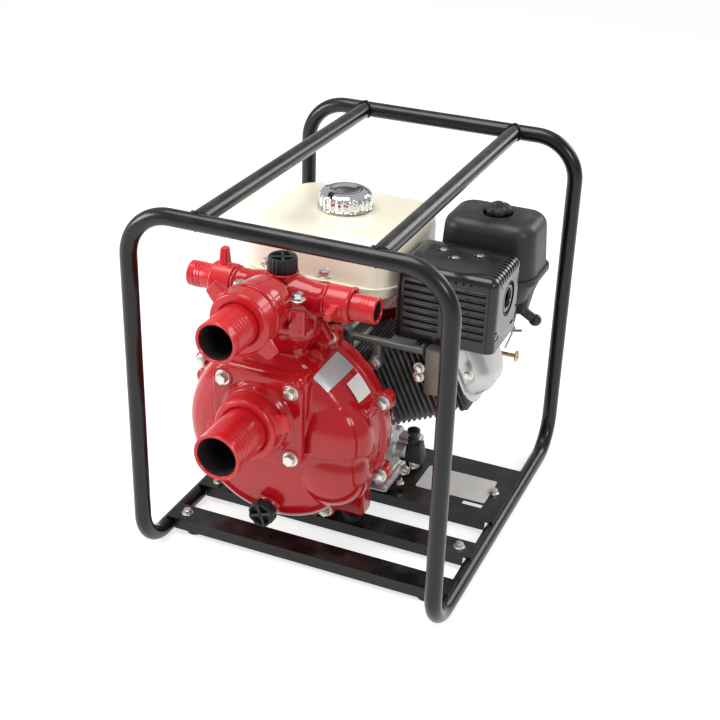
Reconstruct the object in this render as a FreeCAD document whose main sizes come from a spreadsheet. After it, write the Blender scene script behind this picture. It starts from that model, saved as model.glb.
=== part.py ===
import FreeCAD, Part
import math
import os
import re
import Sketcher

# Engine-driven water pump in an open tube frame, in millimetres.
# +Z is up, +X is to the right of someone who faces the pump, and +Y runs from the
# hose tails back to the engine's pull starter. The origin lies on the ground under
# the middle of the overall box. Sizes that end in _back are measured from the plane
# of the front hoop towards the rear, and heights are measured from the ground.

SIZES = {
    # Tube frame
    "tube_diameter": 19.05,
    "leg_offset": 181.0,
    "hoop_plane": -203.025,
    "hoop_pitch": 443.5,
    "hoop_top": 434.4,
    "top_bend": 52.0,
    "foot_bend": 45.0,
    "rail_joint_back": 296.0,
    "top_bar_offset": 100.0,
    "weld_gap": 0.2,
    # Cross members of bent sheet
    "member_width": 31.0,
    "member_thick": 2.5,
    "member_flange": 12.0,
    "member_clearance": 1.0,
    "front_member_back": 51.0,
    "mid_member_back": 129.0,
    "base_plate_back": 209.0,
    "base_plate_depth": 127.0,
    "base_slot_offset": 132.0,
    "base_slot_length": 26.0,
    "base_slot_width": 10.0,
    "base_slot_inset": 24.0,
    # Rubber under the frame, the pump and the engine
    "pad_radius": 10.5,
    "pad_offset": 150.0,
    "engine_mount_radius": 15.0,
    "engine_mount_waist": 12.0,
    "engine_mount_across": 81.0,
    "engine_mount_along": 37.75,
    "pump_mount_radius": 12.0,
    # Main axis of the pump and of the engine
    "crank_x": -55.0,
    "crank_height": 149.0,
    # Pump casing
    "rim_front_back": 118.0,
    "rim_thick": 14.0,
    "rim_radius": 122.0,
    "dome_radius": 114.0,
    "dome_depth": 60.0,
    "lug_circle": 125.0,
    "lug_radius": 11.5,
    "lug_depth": 22.0,
    "lug_count": 8.0,
    "upper_lobe_right": 42.0,
    "upper_lobe_up": 34.0,
    "upper_lobe_wide": 66.0,
    "upper_lobe_tall": 62.0,
    "lower_lobe_right": 46.0,
    "lower_lobe_down": 46.0,
    "lower_lobe_wide": 60.0,
    "lower_lobe_tall": 56.0,
    "lobe_depth": 56.0,
    "trunk_width": 70.0,
    "trunk_front_back": 82.0,
    "trunk_foot": 215.0,
    "manifold_seat": 300.0,
    "seat_thick": 10.0,
    "drain_down": 91.0,
    "drain_neck_radius": 14.0,
    "drain_neck_front_back": 66.0,
    "drain_bore": 8.0,
    "drain_bore_depth": 14.0,
    # Plate between the casing and the engine, with the pump's two feet
    "adapter_thick": 16.0,
    "adapter_radius": 118.0,
    "pump_foot_offset": 76.0,
    "pump_foot_width": 28.0,
    "pump_foot_depth": 26.0,
    "pump_foot_bottom": 30.0,
    "pump_foot_tall": 62.0,
    # Suction port
    "suction_height": 192.0,
    "suction_side": 110.0,
    "suction_corner": 15.0,
    "suction_plate_thick": 10.0,
    "suction_plate_back": 47.0,
    "suction_boss_radius": 39.0,
    "suction_boss_length": 8.5,
    "suction_stub": 32.0,
    "suction_nut_radius": 37.0,
    "suction_nut_length": 23.0,
    "suction_wing_reach": 52.0,
    "suction_tail_radius": 27.5,
    "suction_tail_length": 68.875,
    "suction_bore": 25.3,
    "suction_bore_depth": 30.0,
    # Main outlet
    "outlet_height": 326.0,
    "outlet_stub_back": 27.5,
    "outlet_stub": 30.0,
    "outlet_ring": 36.0,
    "outlet_ring_length": 9.0,
    "outlet_neck": 33.0,
    "outlet_throat": 25.8,
    "outlet_nut_radius": 35.0,
    "outlet_nut_length": 22.0,
    "outlet_wing_reach": 50.0,
    "outlet_tail_radius": 23.7,
    "outlet_tail_length": 55.0,
    "outlet_bore": 21.5,
    "riser_bore": 19.0,
    # The two side outlets
    "side_height": 321.0,
    "side_reach": 57.5,
    "side_stub": 17.0,
    "side_ring": 20.0,
    "side_ring_length": 3.0,
    "side_neck": 18.0,
    "side_nut_radius": 20.5,
    "side_nut_length": 28.0,
    "side_wing_reach": 40.0,
    "side_tail_radius": 15.0,
    "side_tail_length": 36.0,
    "side_bore": 12.5,
    # What all four hose couplings share
    "thread_gap": 0.4,
    "running_gap": 0.3,
    "lip_thick": 3.2,
    "collar_thick": 3.2,
    "wing_width": 15.0,
    "wing_inset": 3.0,
    "barb_step": 6.0,
    "barb_height": 0.7,
    "bore_step": 1.0,
    # Outlet manifold and priming cap
    "manifold_back": 111.0,
    "manifold_side": 88.0,
    "manifold_corner": 10.0,
    "manifold_plate": 12.0,
    "manifold_bolt_offset": 35.0,
    "manifold_boss_radius": 9.5,
    "manifold_boss_top": 333.0,
    "manifold_dome_radius": 45.0,
    "manifold_dome_height": 44.0,
    "prime_neck_radius": 18.5,
    "prime_neck_top": 347.0,
    "prime_bore": 12.0,
    "prime_bore_depth": 14.0,
    "prime_cap_radius": 17.0,
    "prime_cap_height": 17.0,
    "cap_cross_width": 4.0,
    "cap_cross_depth": 4.0,
    "knob_radius": 16.5,
    "knob_length": 13.5,
    "plug_gap": 0.3,
    # Engine crankcase, measured about the crank axis
    "engine_base": 43.0,
    "base_flange_thick": 11.0,
    "base_flange_left": 85.0,
    "base_flange_right": 105.0,
    "base_flange_back": 216.0,
    "base_flange_depth": 112.0,
    "case_left": 72.0,
    "case_right": 38.0,
    "case_top": 236.0,
    "case_front_back": 170.0,
    "case_depth": 130.0,
    "cover_front_back": 148.0,
    "cover_radius": 76.0,
    "cover_drop": 62.0,
    "cover_seat_radius": 48.0,
    "cover_seat_thick": 4.0,
    "cover_boss_circle": 70.0,
    "cover_boss_radius": 8.0,
    "filler_across": 38.0,
    "filler_height": 84.0,
    "filler_back": 185.0,
    "filler_radius": 11.0,
    "filler_length": 20.0,
    # Cylinder group, measured along the leaning cylinder axis from the crank
    "cylinder_lean": 25.0,
    "cylinder_back": 232.0,
    "cylinder_foot": 76.0,
    "cylinder_top": 148.0,
    "head_top": 184.0,
    "head_cover_top": 212.0,
    "barrel_half": 36.0,
    "fin_half_wide": 52.0,
    "fin_below": 54.0,
    "fin_above": 44.0,
    "fin_thick": 2.2,
    "fin_pitch": 7.2,
    "head_cover_half": 44.0,
    "head_cover_corner": 20.0,
    # Muffler and its guard
    "guard_gap": 1.0,
    "guard_width": 121.0,
    "guard_back": 190.0,
    "guard_depth": 92.0,
    "guard_bottom": 255.0,
    "guard_top": 345.0,
    "guard_sheet": 1.5,
    "guard_corner": 9.0,
    "guard_slot_height": 3.2,
    "guard_slot_pitch": 9.0,
    "guard_slot_count": 7.0,
    "guard_slot_inset": 12.0,
    "guard_port_radius": 20.0,
    "muffler_inset": 8.0,
    "muffler_drop": 10.0,
    "muffler_lift": 7.0,
    "muffler_round": 12.0,
    "exhaust_radius": 15.0,
    "dimple_radius": 8.0,
    "stay_thick": 3.0,
    "stay_overlap": 28.0,
    "stay_bottom": 227.0,
    "stay_tab": 26.0,
    # Fuel tank
    "tank_left": -155.0,
    "tank_width": 197.0,
    "tank_front_back": 190.0,
    "tank_depth": 175.0,
    "tank_bottom": 290.0,
    "tank_top": 362.0,
    "tank_corner": 34.0,
    "tank_shoulder": 20.0,
    "tank_seam_height": 14.0,
    "tank_seam_lip": 4.0,
    "tank_seam_thick": 3.0,
    "bracket_width": 24.0,
    "bracket_depth": 20.0,
    "fuel_cap_back": 280.0,
    "fuel_neck_radius": 27.0,
    "fuel_neck_height": 9.0,
    "fuel_cap_radius": 33.0,
    "fuel_cap_height": 22.0,
    "fuel_cap_seat": 3.0,
    "fuel_cap_wall": 4.0,
    "fuel_flute_radius": 3.0,
    "fuel_flute_count": 20.0,
    # Air cleaner and carburettor
    "cleaner_gap": 12.0,
    "cleaner_width": 120.0,
    "cleaner_front_back": 290.0,
    "cleaner_depth": 94.0,
    "cleaner_bottom": 275.0,
    "cleaner_step": 298.0,
    "cleaner_top": 362.0,
    "cleaner_shrink": 7.0,
    "cleaner_corner": 16.0,
    "cleaner_knob_radius": 12.0,
    "cleaner_knob_height": 13.0,
    "carb_inset": 34.0,
    "carb_width": 40.0,
    "carb_depth": 34.0,
    "carb_bottom": 222.0,
    # Fan cover and pull starter
    "fan_depth": 67.7,
    "fan_radius": 94.0,
    "fan_arm_reach": 128.0,
    "fan_arm_half": 52.0,
    "fan_arm_depth": 44.0,
    "starter_radius": 84.0,
    "starter_depth": 30.0,
    "starter_round": 12.0,
    "starter_vent_count": 10.0,
    "starter_vent_circle": 56.0,
    "starter_vent_width": 8.0,
    "starter_vent_length": 26.0,
    "starter_vent_depth": 6.0,
    "handle_radius": 7.0,
    "handle_length": 34.0,
}

doc = FreeCAD.newDocument("water_pump")
sheet = doc.addObject("Spreadsheet::Sheet", "Sizes")
for row, (alias, number) in enumerate(SIZES.items(), start=1):
    sheet.set("A%d" % row, alias.replace("_", " "))
    sheet.set("B%d" % row, str(number))
    sheet.setAlias("B%d" % row, alias)
doc.recompute()

NODES = {}
NAMES = re.compile(r"[a-z]+(?:_[a-z]+)*")
FUNCTIONS = ("sin", "cos", "tan", "sqrt")
VECTOR = FreeCAD.Vector


def size(alias):
    """The number that the sheet holds for this size."""
    return float(sheet.get(alias))


def formula(words):
    """The expression with each size read from the sheet."""
    def cell(match):
        word = match.group(0)
        if word in FUNCTIONS:
            return word
        return "Sizes." + word
    return NAMES.sub(cell, str(words))


def back(words):
    """A place along Y, given as a distance behind the front hoop."""
    return "hoop_plane + " + words


def bind(obj, **sizes):
    for prop, words in sizes.items():
        obj.setExpression(prop, formula(words))
    return obj


def turned(x_axis, y_axis):
    """The rotation that lays an object's own X and Y along these directions."""
    across = VECTOR(*x_axis)
    along = VECTOR(*y_axis)
    return FreeCAD.Rotation(across, along, across.cross(along), "XYZ")


UPRIGHT = FreeCAD.Rotation()
TO_FRONT = turned((1, 0, 0), (0, 0, 1))
TO_BACK = turned((-1, 0, 0), (0, 0, 1))
TO_RIGHT = turned((0, 1, 0), (0, 0, 1))
TO_LEFT = turned((0, -1, 0), (0, 0, 1))
FAN_BACK = "case_front_back + case_depth + running_gap"
TANK_RIGHT = "(tank_left + tank_width + tank_seam_lip)"
GUARD_LEFT = "(%s + guard_gap)" % TANK_RIGHT
CLEANER_LEFT = "(%s + cleaner_gap)" % TANK_RIGHT


def place(obj, x, y, z, turn=UPRIGHT):
    obj.Placement = FreeCAD.Placement(VECTOR(), turn)
    for axis, words in zip("xyz", (x, y, z)):
        obj.setExpression("Placement.Base." + axis, formula(words))
    return obj


def lean(obj):
    """Leans an object with the engine's cylinder: its X becomes the cylinder axis."""
    obj.Placement = FreeCAD.Placement(VECTOR(), FreeCAD.Rotation(VECTOR(0, -1, 0), 1))
    obj.setExpression("Placement.Rotation.Angle", formula("cylinder_lean"))
    obj.setExpression("Placement.Base.x", formula("crank_x"))
    obj.setExpression("Placement.Base.y", formula(back("cylinder_back")))
    obj.setExpression("Placement.Base.z", formula("crank_height"))
    return obj


def box(name, x, y, z, length, width, height):
    """A block with its low corner at x, y, z."""
    obj = doc.addObject("Part::Box", name)
    bind(obj, Length=length, Width=width, Height=height)
    return place(obj, x, y, z)


def rod(name, x, y, z, radius, length, turn=UPRIGHT):
    """A round bar that starts at x, y, z and runs along the turned Z."""
    obj = doc.addObject("Part::Cylinder", name)
    bind(obj, Radius=radius, Height=length)
    return place(obj, x, y, z, turn)


def bend(name, x, y, z, radius, turn):
    """A quarter of a tube bend about x, y, z."""
    obj = doc.addObject("Part::Torus", name)
    bind(obj, Radius1=radius, Radius2="tube_diameter / 2")
    obj.Angle3 = 90
    return place(obj, x, y, z, turn)


def dome(name, x, y, z, wide, tall, deep):
    """The front half of an ellipsoid: wide along X, tall along Z, deep along -Y."""
    obj = doc.addObject("Part::Ellipsoid", name)
    bind(obj, Radius1=deep, Radius2=wide, Radius3=tall)
    obj.Angle1 = 0
    obj.Angle2 = 90
    return place(obj, x, y, z, TO_FRONT)


def fuse(name, *pieces):
    obj = doc.addObject("Part::MultiFuse", name)
    obj.Shapes = list(pieces)
    obj.Refine = False
    return obj


def cut(name, base, tool):
    obj = doc.addObject("Part::Cut", name)
    obj.Base = base
    obj.Tool = tool
    return obj


def node(name, obj):
    obj.Label = name
    NODES[name] = obj
    return obj


def body(name):
    return doc.addObject("PartDesign::Body", name)


def origin(piece, role):
    for feature in piece.Origin.OriginFeatures:
        if feature.Role == role:
            return feature
    raise ValueError(role)


def sketch(piece, name, role, lift="0"):
    """A sketch on one of the body's own origin planes, lifted off it by a size."""
    drawing = piece.newObject("Sketcher::SketchObject", name)
    drawing.AttachmentSupport = [(origin(piece, role), "")]
    drawing.MapMode = "FlatFace"
    drawing.setExpression("AttachmentOffset.Base.z", formula(lift))
    return drawing


def pin(drawing, number, corner, x, y):
    """Holds one point of a sketch by its two distances from the axes."""
    for kind, words in (("DistanceX", x), ("DistanceY", y)):
        point = drawing.getPoint(number, corner)
        start = point.x if kind == "DistanceX" else point.y
        mark = drawing.addConstraint(Sketcher.Constraint(kind, -1, 1, number, corner, start))
        drawing.renameConstraint(mark, "%s_%d" % (kind, mark))
        drawing.setExpression("Constraints.%s_%d" % (kind, mark), formula(words))


def outline(drawing, points):
    """A closed outline of straight sides through the points."""
    count = len(points)
    first = drawing.GeometryCount
    ring = []
    for k in range(count):
        angle = 2 * math.pi * k / count
        ring.append(VECTOR(10 + 5 * math.cos(angle), 10 + 5 * math.sin(angle), 0))
    for k in range(count):
        drawing.addGeometry(Part.LineSegment(ring[k], ring[(k + 1) % count]))
    for k in range(count):
        following = first + (k + 1) % count
        drawing.addConstraint(Sketcher.Constraint("Coincident", first + k, 2, following, 1))
    for k, (x, y) in enumerate(points):
        pin(drawing, first + k, 1, x, y)
    return drawing


def rectangle(drawing, x, y, width, height):
    right = "%s + %s" % (x, width)
    upper = "%s + %s" % (y, height)
    return outline(drawing, [(x, y), (right, y), (right, upper), (x, upper)])


def circle(drawing, x, y, radius):
    number = drawing.addGeometry(Part.Circle(VECTOR(1, 1, 0), VECTOR(0, 0, 1), 5))
    pin(drawing, number, 3, x, y)
    mark = drawing.addConstraint(Sketcher.Constraint("Radius", number, 5))
    drawing.renameConstraint(mark, "Radius_%d" % mark)
    drawing.setExpression("Constraints.Radius_%d" % mark, formula(radius))
    return drawing


def pad(piece, name, drawing, length):
    feature = piece.newObject("PartDesign::Pad", name)
    feature.Profile = drawing
    bind(feature, Length=length)
    return feature


def pocket(piece, name, drawing, length, flip=False):
    feature = piece.newObject("PartDesign::Pocket", name)
    feature.Profile = drawing
    feature.Reversed = flip
    bind(feature, Length=length)
    return feature


def revolve(piece, name, drawing):
    feature = piece.newObject("PartDesign::Revolution", name)
    feature.Profile = drawing
    feature.ReferenceAxis = (drawing, ["V_Axis"])
    feature.Angle = 360
    return feature


def around(piece, name, features, count):
    """Repeats features evenly about the body's Z axis."""
    pattern = piece.newObject("PartDesign::PolarPattern", name)
    pattern.Originals = features
    pattern.Axis = (origin(piece, "Z_Axis"), [""])
    pattern.Angle = 360
    bind(pattern, Occurrences=count)
    piece.Tip = pattern
    return pattern


def round_edges(piece, name, feature, radius, wanted):
    """Rounds the edges of a feature for which wanted(edge) holds."""
    doc.recompute()
    chosen = []
    for number, edge in enumerate(feature.Shape.Edges, start=1):
        if wanted(edge):
            chosen.append("Edge%d" % number)
    fillet = piece.newObject("PartDesign::Fillet", name)
    fillet.Base = (feature, chosen)
    bind(fillet, Radius=radius)
    return fillet


def is_upright(edge):
    """True for a straight edge along Z."""
    if edge.Curve.TypeId != "Part::GeomLine":
        return False
    start, end = edge.Vertexes[0].Point, edge.Vertexes[-1].Point
    return abs(start.x - end.x) + abs(start.y - end.y) < 1e-6


def edges_at(height):
    """A test for edges that lie flat at this height."""
    def wanted(edge):
        bounds = edge.BoundBox
        return abs(bounds.ZMin - height) < 1e-4 and abs(bounds.ZMax - height) < 1e-4
    return wanted


def block(name, width, depth, height, corner):
    """A body with rounded upright corners, centred on its own axis, from z = 0 up."""
    piece = body(name)
    drawing = sketch(piece, name + "_outline", "XY_Plane")
    rectangle(drawing, "-(%s) / 2" % width, "-(%s) / 2" % depth, width, depth)
    raised = pad(piece, name + "_pad", drawing, height)
    round_edges(piece, name + "_corners", raised, corner, is_upright)
    return piece


# Tube frame: two bent hoops whose legs curve into the bottom rails, two bars on top


def hoop(name, plane, toward, rail_length):
    """One bent tube: a top bar, two legs, and rails that run off towards +Y or -Y."""
    half = "tube_diameter / 2"
    pieces = []
    pieces.append(rod(name + "_top", "top_bend - leg_offset", plane, "hoop_top", half,
                      "2 * (leg_offset - top_bend)", TO_RIGHT))
    for side, sign in (("left", -1), ("right", 1)):
        x = "%d * leg_offset" % sign
        corner_x = "%d * (leg_offset - top_bend)" % sign
        pieces.append(bend("%s_%s_top_bend" % (name, side), corner_x, plane,
                           "hoop_top - top_bend", "top_bend", turned((sign, 0, 0), (0, 0, 1))))
        pieces.append(rod("%s_%s_leg" % (name, side), x, plane, half + " + foot_bend", half,
                          "hoop_top - top_bend - foot_bend - " + half))
        bend_y = "%s + %d * foot_bend" % (plane, toward)
        pieces.append(bend("%s_%s_foot_bend" % (name, side), x, bend_y, half + " + foot_bend",
                           "foot_bend", turned((0, -toward, 0), (0, 0, -1))))
        direction = TO_BACK if toward > 0 else TO_FRONT
        pieces.append(rod("%s_%s_rail" % (name, side), x, bend_y, half, half,
                          rail_length, direction))
    return node(name, fuse(name, *pieces))


def frame():
    hoop("front_hoop", "hoop_plane", 1, "rail_joint_back - foot_bend")
    hoop("rear_hoop", back("hoop_pitch"), -1, "hoop_pitch - rail_joint_back - foot_bend")
    for side, sign in (("left", -1), ("right", 1)):
        name = "top_bar_" + side
        x = "%d * top_bar_offset" % sign
        bar = rod(name + "_tube", x, "hoop_plane", "hoop_top", "tube_diameter / 2",
                  "hoop_pitch", TO_BACK)
        copes = []
        for end, y in (("front", "hoop_plane"), ("rear", back("hoop_pitch"))):
            copes.append(rod("%s_%s_cope" % (name, end), x + " - tube_diameter", y, "hoop_top",
                             "tube_diameter / 2 + weld_gap", "2 * tube_diameter", TO_RIGHT))
        node(name, cut(name, bar, fuse(name + "_copes", *copes)))


def channel(name, start, width):
    """A bent sheet across the rails, its flanges turned down between them."""
    piece = body(name)
    deck = sketch(piece, name + "_deck", "XY_Plane")
    rectangle(deck, "-leg_offset", "0", "2 * leg_offset", width)
    pad(piece, name + "_deck_pad", deck, "member_thick")
    for edge, y in (("front", "0"), ("rear", width + " - member_thick")):
        flange = sketch(piece, "%s_%s_flange" % (name, edge), "XY_Plane", "-member_flange")
        reach = "(leg_offset - tube_diameter / 2 - member_clearance)"
        rectangle(flange, "-" + reach, y, "2 * " + reach, "member_thick")
        pad(piece, "%s_%s_flange_pad" % (name, edge), flange, "member_flange")
    place(piece, "0", back(start), "tube_diameter")
    return piece


def cross_members():
    node("front_crossmember", channel("front_crossmember", "front_member_back", "member_width"))
    node("mid_crossmember", channel("mid_crossmember", "mid_member_back", "member_width"))
    plate = channel("engine_base_plate", "base_plate_back", "base_plate_depth")
    slot = sketch(plate, "base_slot", "XY_Plane", "member_thick")
    rectangle(slot, "base_slot_offset", "base_slot_inset", "base_slot_length", "base_slot_width")
    pocket(plate, "base_slot_cut", slot, "member_thick")
    node("engine_base_plate", plate)


def rubber():
    """Pads under the frame's ends, and the mounts that carry the pump and the engine."""
    pads = []
    rows = (("front", "front_member_back + member_width / 2"),
            ("rear", "base_plate_back + base_plate_depth - member_width / 2"))
    for end, y in rows:
        for side, sign in (("left", -1), ("right", 1)):
            pads.append(rod("pad_%s_%s" % (end, side), "%d * pad_offset" % sign, back(y), "0",
                            "pad_radius", "tube_diameter"))
    node("rubber_feet", fuse("rubber_feet", *pads))

    deck = "tube_diameter + member_thick"
    mounts = []
    for end, along in (("front", -1), ("rear", 1)):
        for side, across in (("left", -1), ("right", 1)):
            name = "engine_mount_%s_%s" % (end, side)
            x = ("crank_x + (base_flange_right - base_flange_left) / 2"
                 " + %d * engine_mount_across" % across)
            y = back("base_flange_back + base_flange_depth / 2 + %d * engine_mount_along" % along)
            rise = "(engine_base - tube_diameter - member_thick)"
            mounts.append(rod(name + "_foot", x, y, deck, "engine_mount_radius", rise + " / 4"))
            mounts.append(rod(name + "_waist", x, y, deck, "engine_mount_waist", rise))
            mounts.append(rod(name + "_head", x, y, deck + " + 3 * %s / 4" % rise,
                              "engine_mount_radius", rise + " / 4"))
    node("engine_mounts", fuse("engine_mounts", *mounts))

    mounts = []
    for side, sign in (("left", -1), ("right", 1)):
        mounts.append(rod("pump_mount_" + side, "crank_x + %d * pump_foot_offset" % sign,
                          back("mid_member_back + member_width / 2"), deck,
                          "pump_mount_radius", "pump_foot_bottom - tube_diameter - member_thick"))
    node("pump_mounts", fuse("pump_mounts", *mounts))


# Pump end: cast casing, the plate behind it, and the ports


def pump_casing():
    x, z = "crank_x", "crank_height"
    face = back("rim_front_back")
    pieces = [
        rod("casing_rim", x, face, z, "rim_radius", "rim_thick", TO_BACK),
        dome("casing_dome", x, face, z, "dome_radius", "dome_radius", "dome_depth"),
        dome("casing_upper_lobe", x + " + upper_lobe_right", face, z + " + upper_lobe_up",
             "upper_lobe_wide", "upper_lobe_tall", "lobe_depth"),
        dome("casing_lower_lobe", x + " + lower_lobe_right", face, z + " - lower_lobe_down",
             "lower_lobe_wide", "lower_lobe_tall", "lobe_depth"),
        rod("casing_drain_neck", x, face, z + " - drain_down", "drain_neck_radius",
            "rim_front_back - drain_neck_front_back", TO_FRONT),
        box("casing_trunk", x + " - trunk_width / 2", back("trunk_front_back"), "trunk_foot",
            "trunk_width", "rim_front_back + rim_thick - trunk_front_back",
            "manifold_seat - trunk_foot"),
    ]
    for k in range(int(size("lug_count"))):
        angle = "(%d + 0.5) * 360 / lug_count" % k
        pieces.append(rod("casing_lug_%d" % k, "%s + lug_circle * cos(%s)" % (x, angle),
                          back("rim_front_back + rim_thick"),
                          "%s + lug_circle * sin(%s)" % (z, angle),
                          "lug_radius", "lug_depth", TO_FRONT))
    pad_piece = block("casing_suction_pad", "suction_side", "suction_side",
                      "rim_front_back - suction_plate_back - suction_plate_thick",
                      "suction_corner")
    place(pad_piece, x, face, "suction_height", TO_FRONT)
    seat = block("casing_manifold_seat", "manifold_side", "manifold_side", "seat_thick",
                 "manifold_corner")
    place(seat, x, back("manifold_back"), "manifold_seat - seat_thick")
    solid = fuse("casing_solid", *pieces, pad_piece, seat)

    bores = fuse(
        "casing_bores",
        rod("casing_suction_bore", x, back("suction_plate_back"), "suction_height",
            "suction_bore - bore_step", "suction_plate_thick + suction_bore_depth", TO_BACK),
        rod("casing_outlet_bore", x, back("manifold_back"), "manifold_seat - suction_bore_depth",
            "riser_bore", "2 * suction_bore_depth"),
        rod("casing_drain_bore", x, face, z + " - drain_down", "drain_bore + plug_gap",
            "rim_front_back", TO_FRONT),
    )
    stop = box("casing_drain_stop", x + " - rim_radius",
               back("drain_neck_front_back + drain_bore_depth"), z + " - rim_radius",
               "2 * rim_radius", "rim_front_back", "rim_radius")
    bores_only = cut("casing_bores_trimmed", bores, stop)
    node("pump_casing", cut("pump_casing", solid, bores_only))


def pump_adapter():
    """The plate bolted to the engine, with a foot at each side."""
    start = back("rim_front_back + rim_thick")
    plate = rod("adapter_plate", "crank_x", start, "crank_height", "adapter_radius",
                "adapter_thick", TO_BACK)
    feet = []
    for side, sign in (("left", -1), ("right", 1)):
        feet.append(box("adapter_foot_" + side,
                        "crank_x + %d * pump_foot_offset - pump_foot_width / 2" % sign,
                        start, "pump_foot_bottom", "pump_foot_width", "pump_foot_depth",
                        "pump_foot_tall"))
    node("pump_adapter", fuse("pump_adapter", plate, *feet))


def nut(name, port):
    """A coupling nut: a threaded ring with a front lip and two wings.

    Its own Z points out of the port, and z = 0 is its inner face.
    """
    piece = body(name)
    inner = "(%s_stub + thread_gap)" % port
    outer = "%s_nut_radius" % port
    length = "%s_nut_length" % port
    mouth = "(%s_tail_radius + thread_gap)" % port
    ring = sketch(piece, name + "_section", "XZ_Plane")
    outline(ring, [(inner, "0"), (outer, "0"), (outer, length), (mouth, length),
                   (mouth, length + " - lip_thick"), (inner, length + " - lip_thick")])
    revolve(piece, name + "_ring", ring)
    wing = sketch(piece, name + "_wing", "XY_Plane", "wing_inset")
    rectangle(wing, outer + " - 1.5", "-wing_width / 2", port + "_wing_reach - %s + 1.5" % outer,
              "wing_width")
    raised = pad(piece, name + "_wing_pad", wing, length + " - 2 * wing_inset")
    around(piece, name + "_wings", [raised], "2")
    return piece


def tail(name, port):
    """A hose tail with a trapped collar; z = 0 is the collar's inner face."""
    piece = body(name)
    bore = port + "_bore"
    radius = port + "_tail_radius"
    end = port + "_tail_length"
    points = [(bore, "0"), ("%s_stub" % port, "0"), ("%s_stub" % port, "collar_thick"),
              (radius, "collar_thick")]
    for k in range(4):
        step = "%s - %d * barb_step" % (end, 4 - k)
        points.append((radius, step))
        points.append((radius + " - barb_height", step))
    points.append((radius + " - barb_height", end))
    points.append((bore, end))
    section = sketch(piece, name + "_section", "XZ_Plane")
    outline(section, points)
    revolve(piece, name + "_turned", section)
    return piece


def couple(nut_name, tail_name, port, x, y, z, turn, wing_turn):
    """Sets a nut and a tail on a stub whose inner shoulder is at x, y, z."""
    spun = turn.multiply(FreeCAD.Rotation(VECTOR(0, 0, 1), wing_turn))
    out = turn.multVec(VECTOR(0, 0, 1))
    ring = nut(nut_name, port)
    hose = tail(tail_name, port)
    nut_start = "running_gap"
    tail_start = "(running_gap + %s_nut_length - lip_thick - running_gap - collar_thick)" % port
    for piece, start, rotation in ((ring, nut_start, spun), (hose, tail_start, turn)):
        place(piece, "%s + %d * %s" % (x, round(out.x), start),
              "%s + %d * %s" % (y, round(out.y), start),
              "%s + %d * %s" % (z, round(out.z), start), rotation)
    node(nut_name, ring)
    node(tail_name, hose)


def stub_length(port):
    """How far a stub stands out of its shoulder, up to the tail's collar."""
    return "%s_nut_length - lip_thick - collar_thick - running_gap" % port


def suction_port():
    x, z = "crank_x", "suction_height"
    plate_back = back("suction_plate_back + suction_plate_thick")
    plate = block("suction_plate", "suction_side", "suction_side", "suction_plate_thick",
                  "suction_corner")
    place(plate, x, plate_back, z, TO_FRONT)
    shoulder = back("suction_plate_back - suction_boss_length")
    boss = rod("suction_boss", x, back("suction_plate_back"), z, "suction_boss_radius",
               "suction_boss_length", TO_FRONT)
    stub = rod("suction_thread", x, shoulder, z, "suction_stub", stub_length("suction"), TO_FRONT)
    bore = rod("suction_passage", x, plate_back, z, "suction_bore - bore_step",
               "suction_plate_back + suction_nut_length", TO_FRONT)
    node("suction_flange", cut("suction_flange", fuse("suction_casting", plate, boss, stub), bore))
    couple("suction_nut", "suction_tail", "suction", x, shoulder, z, TO_FRONT, 18)


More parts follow.
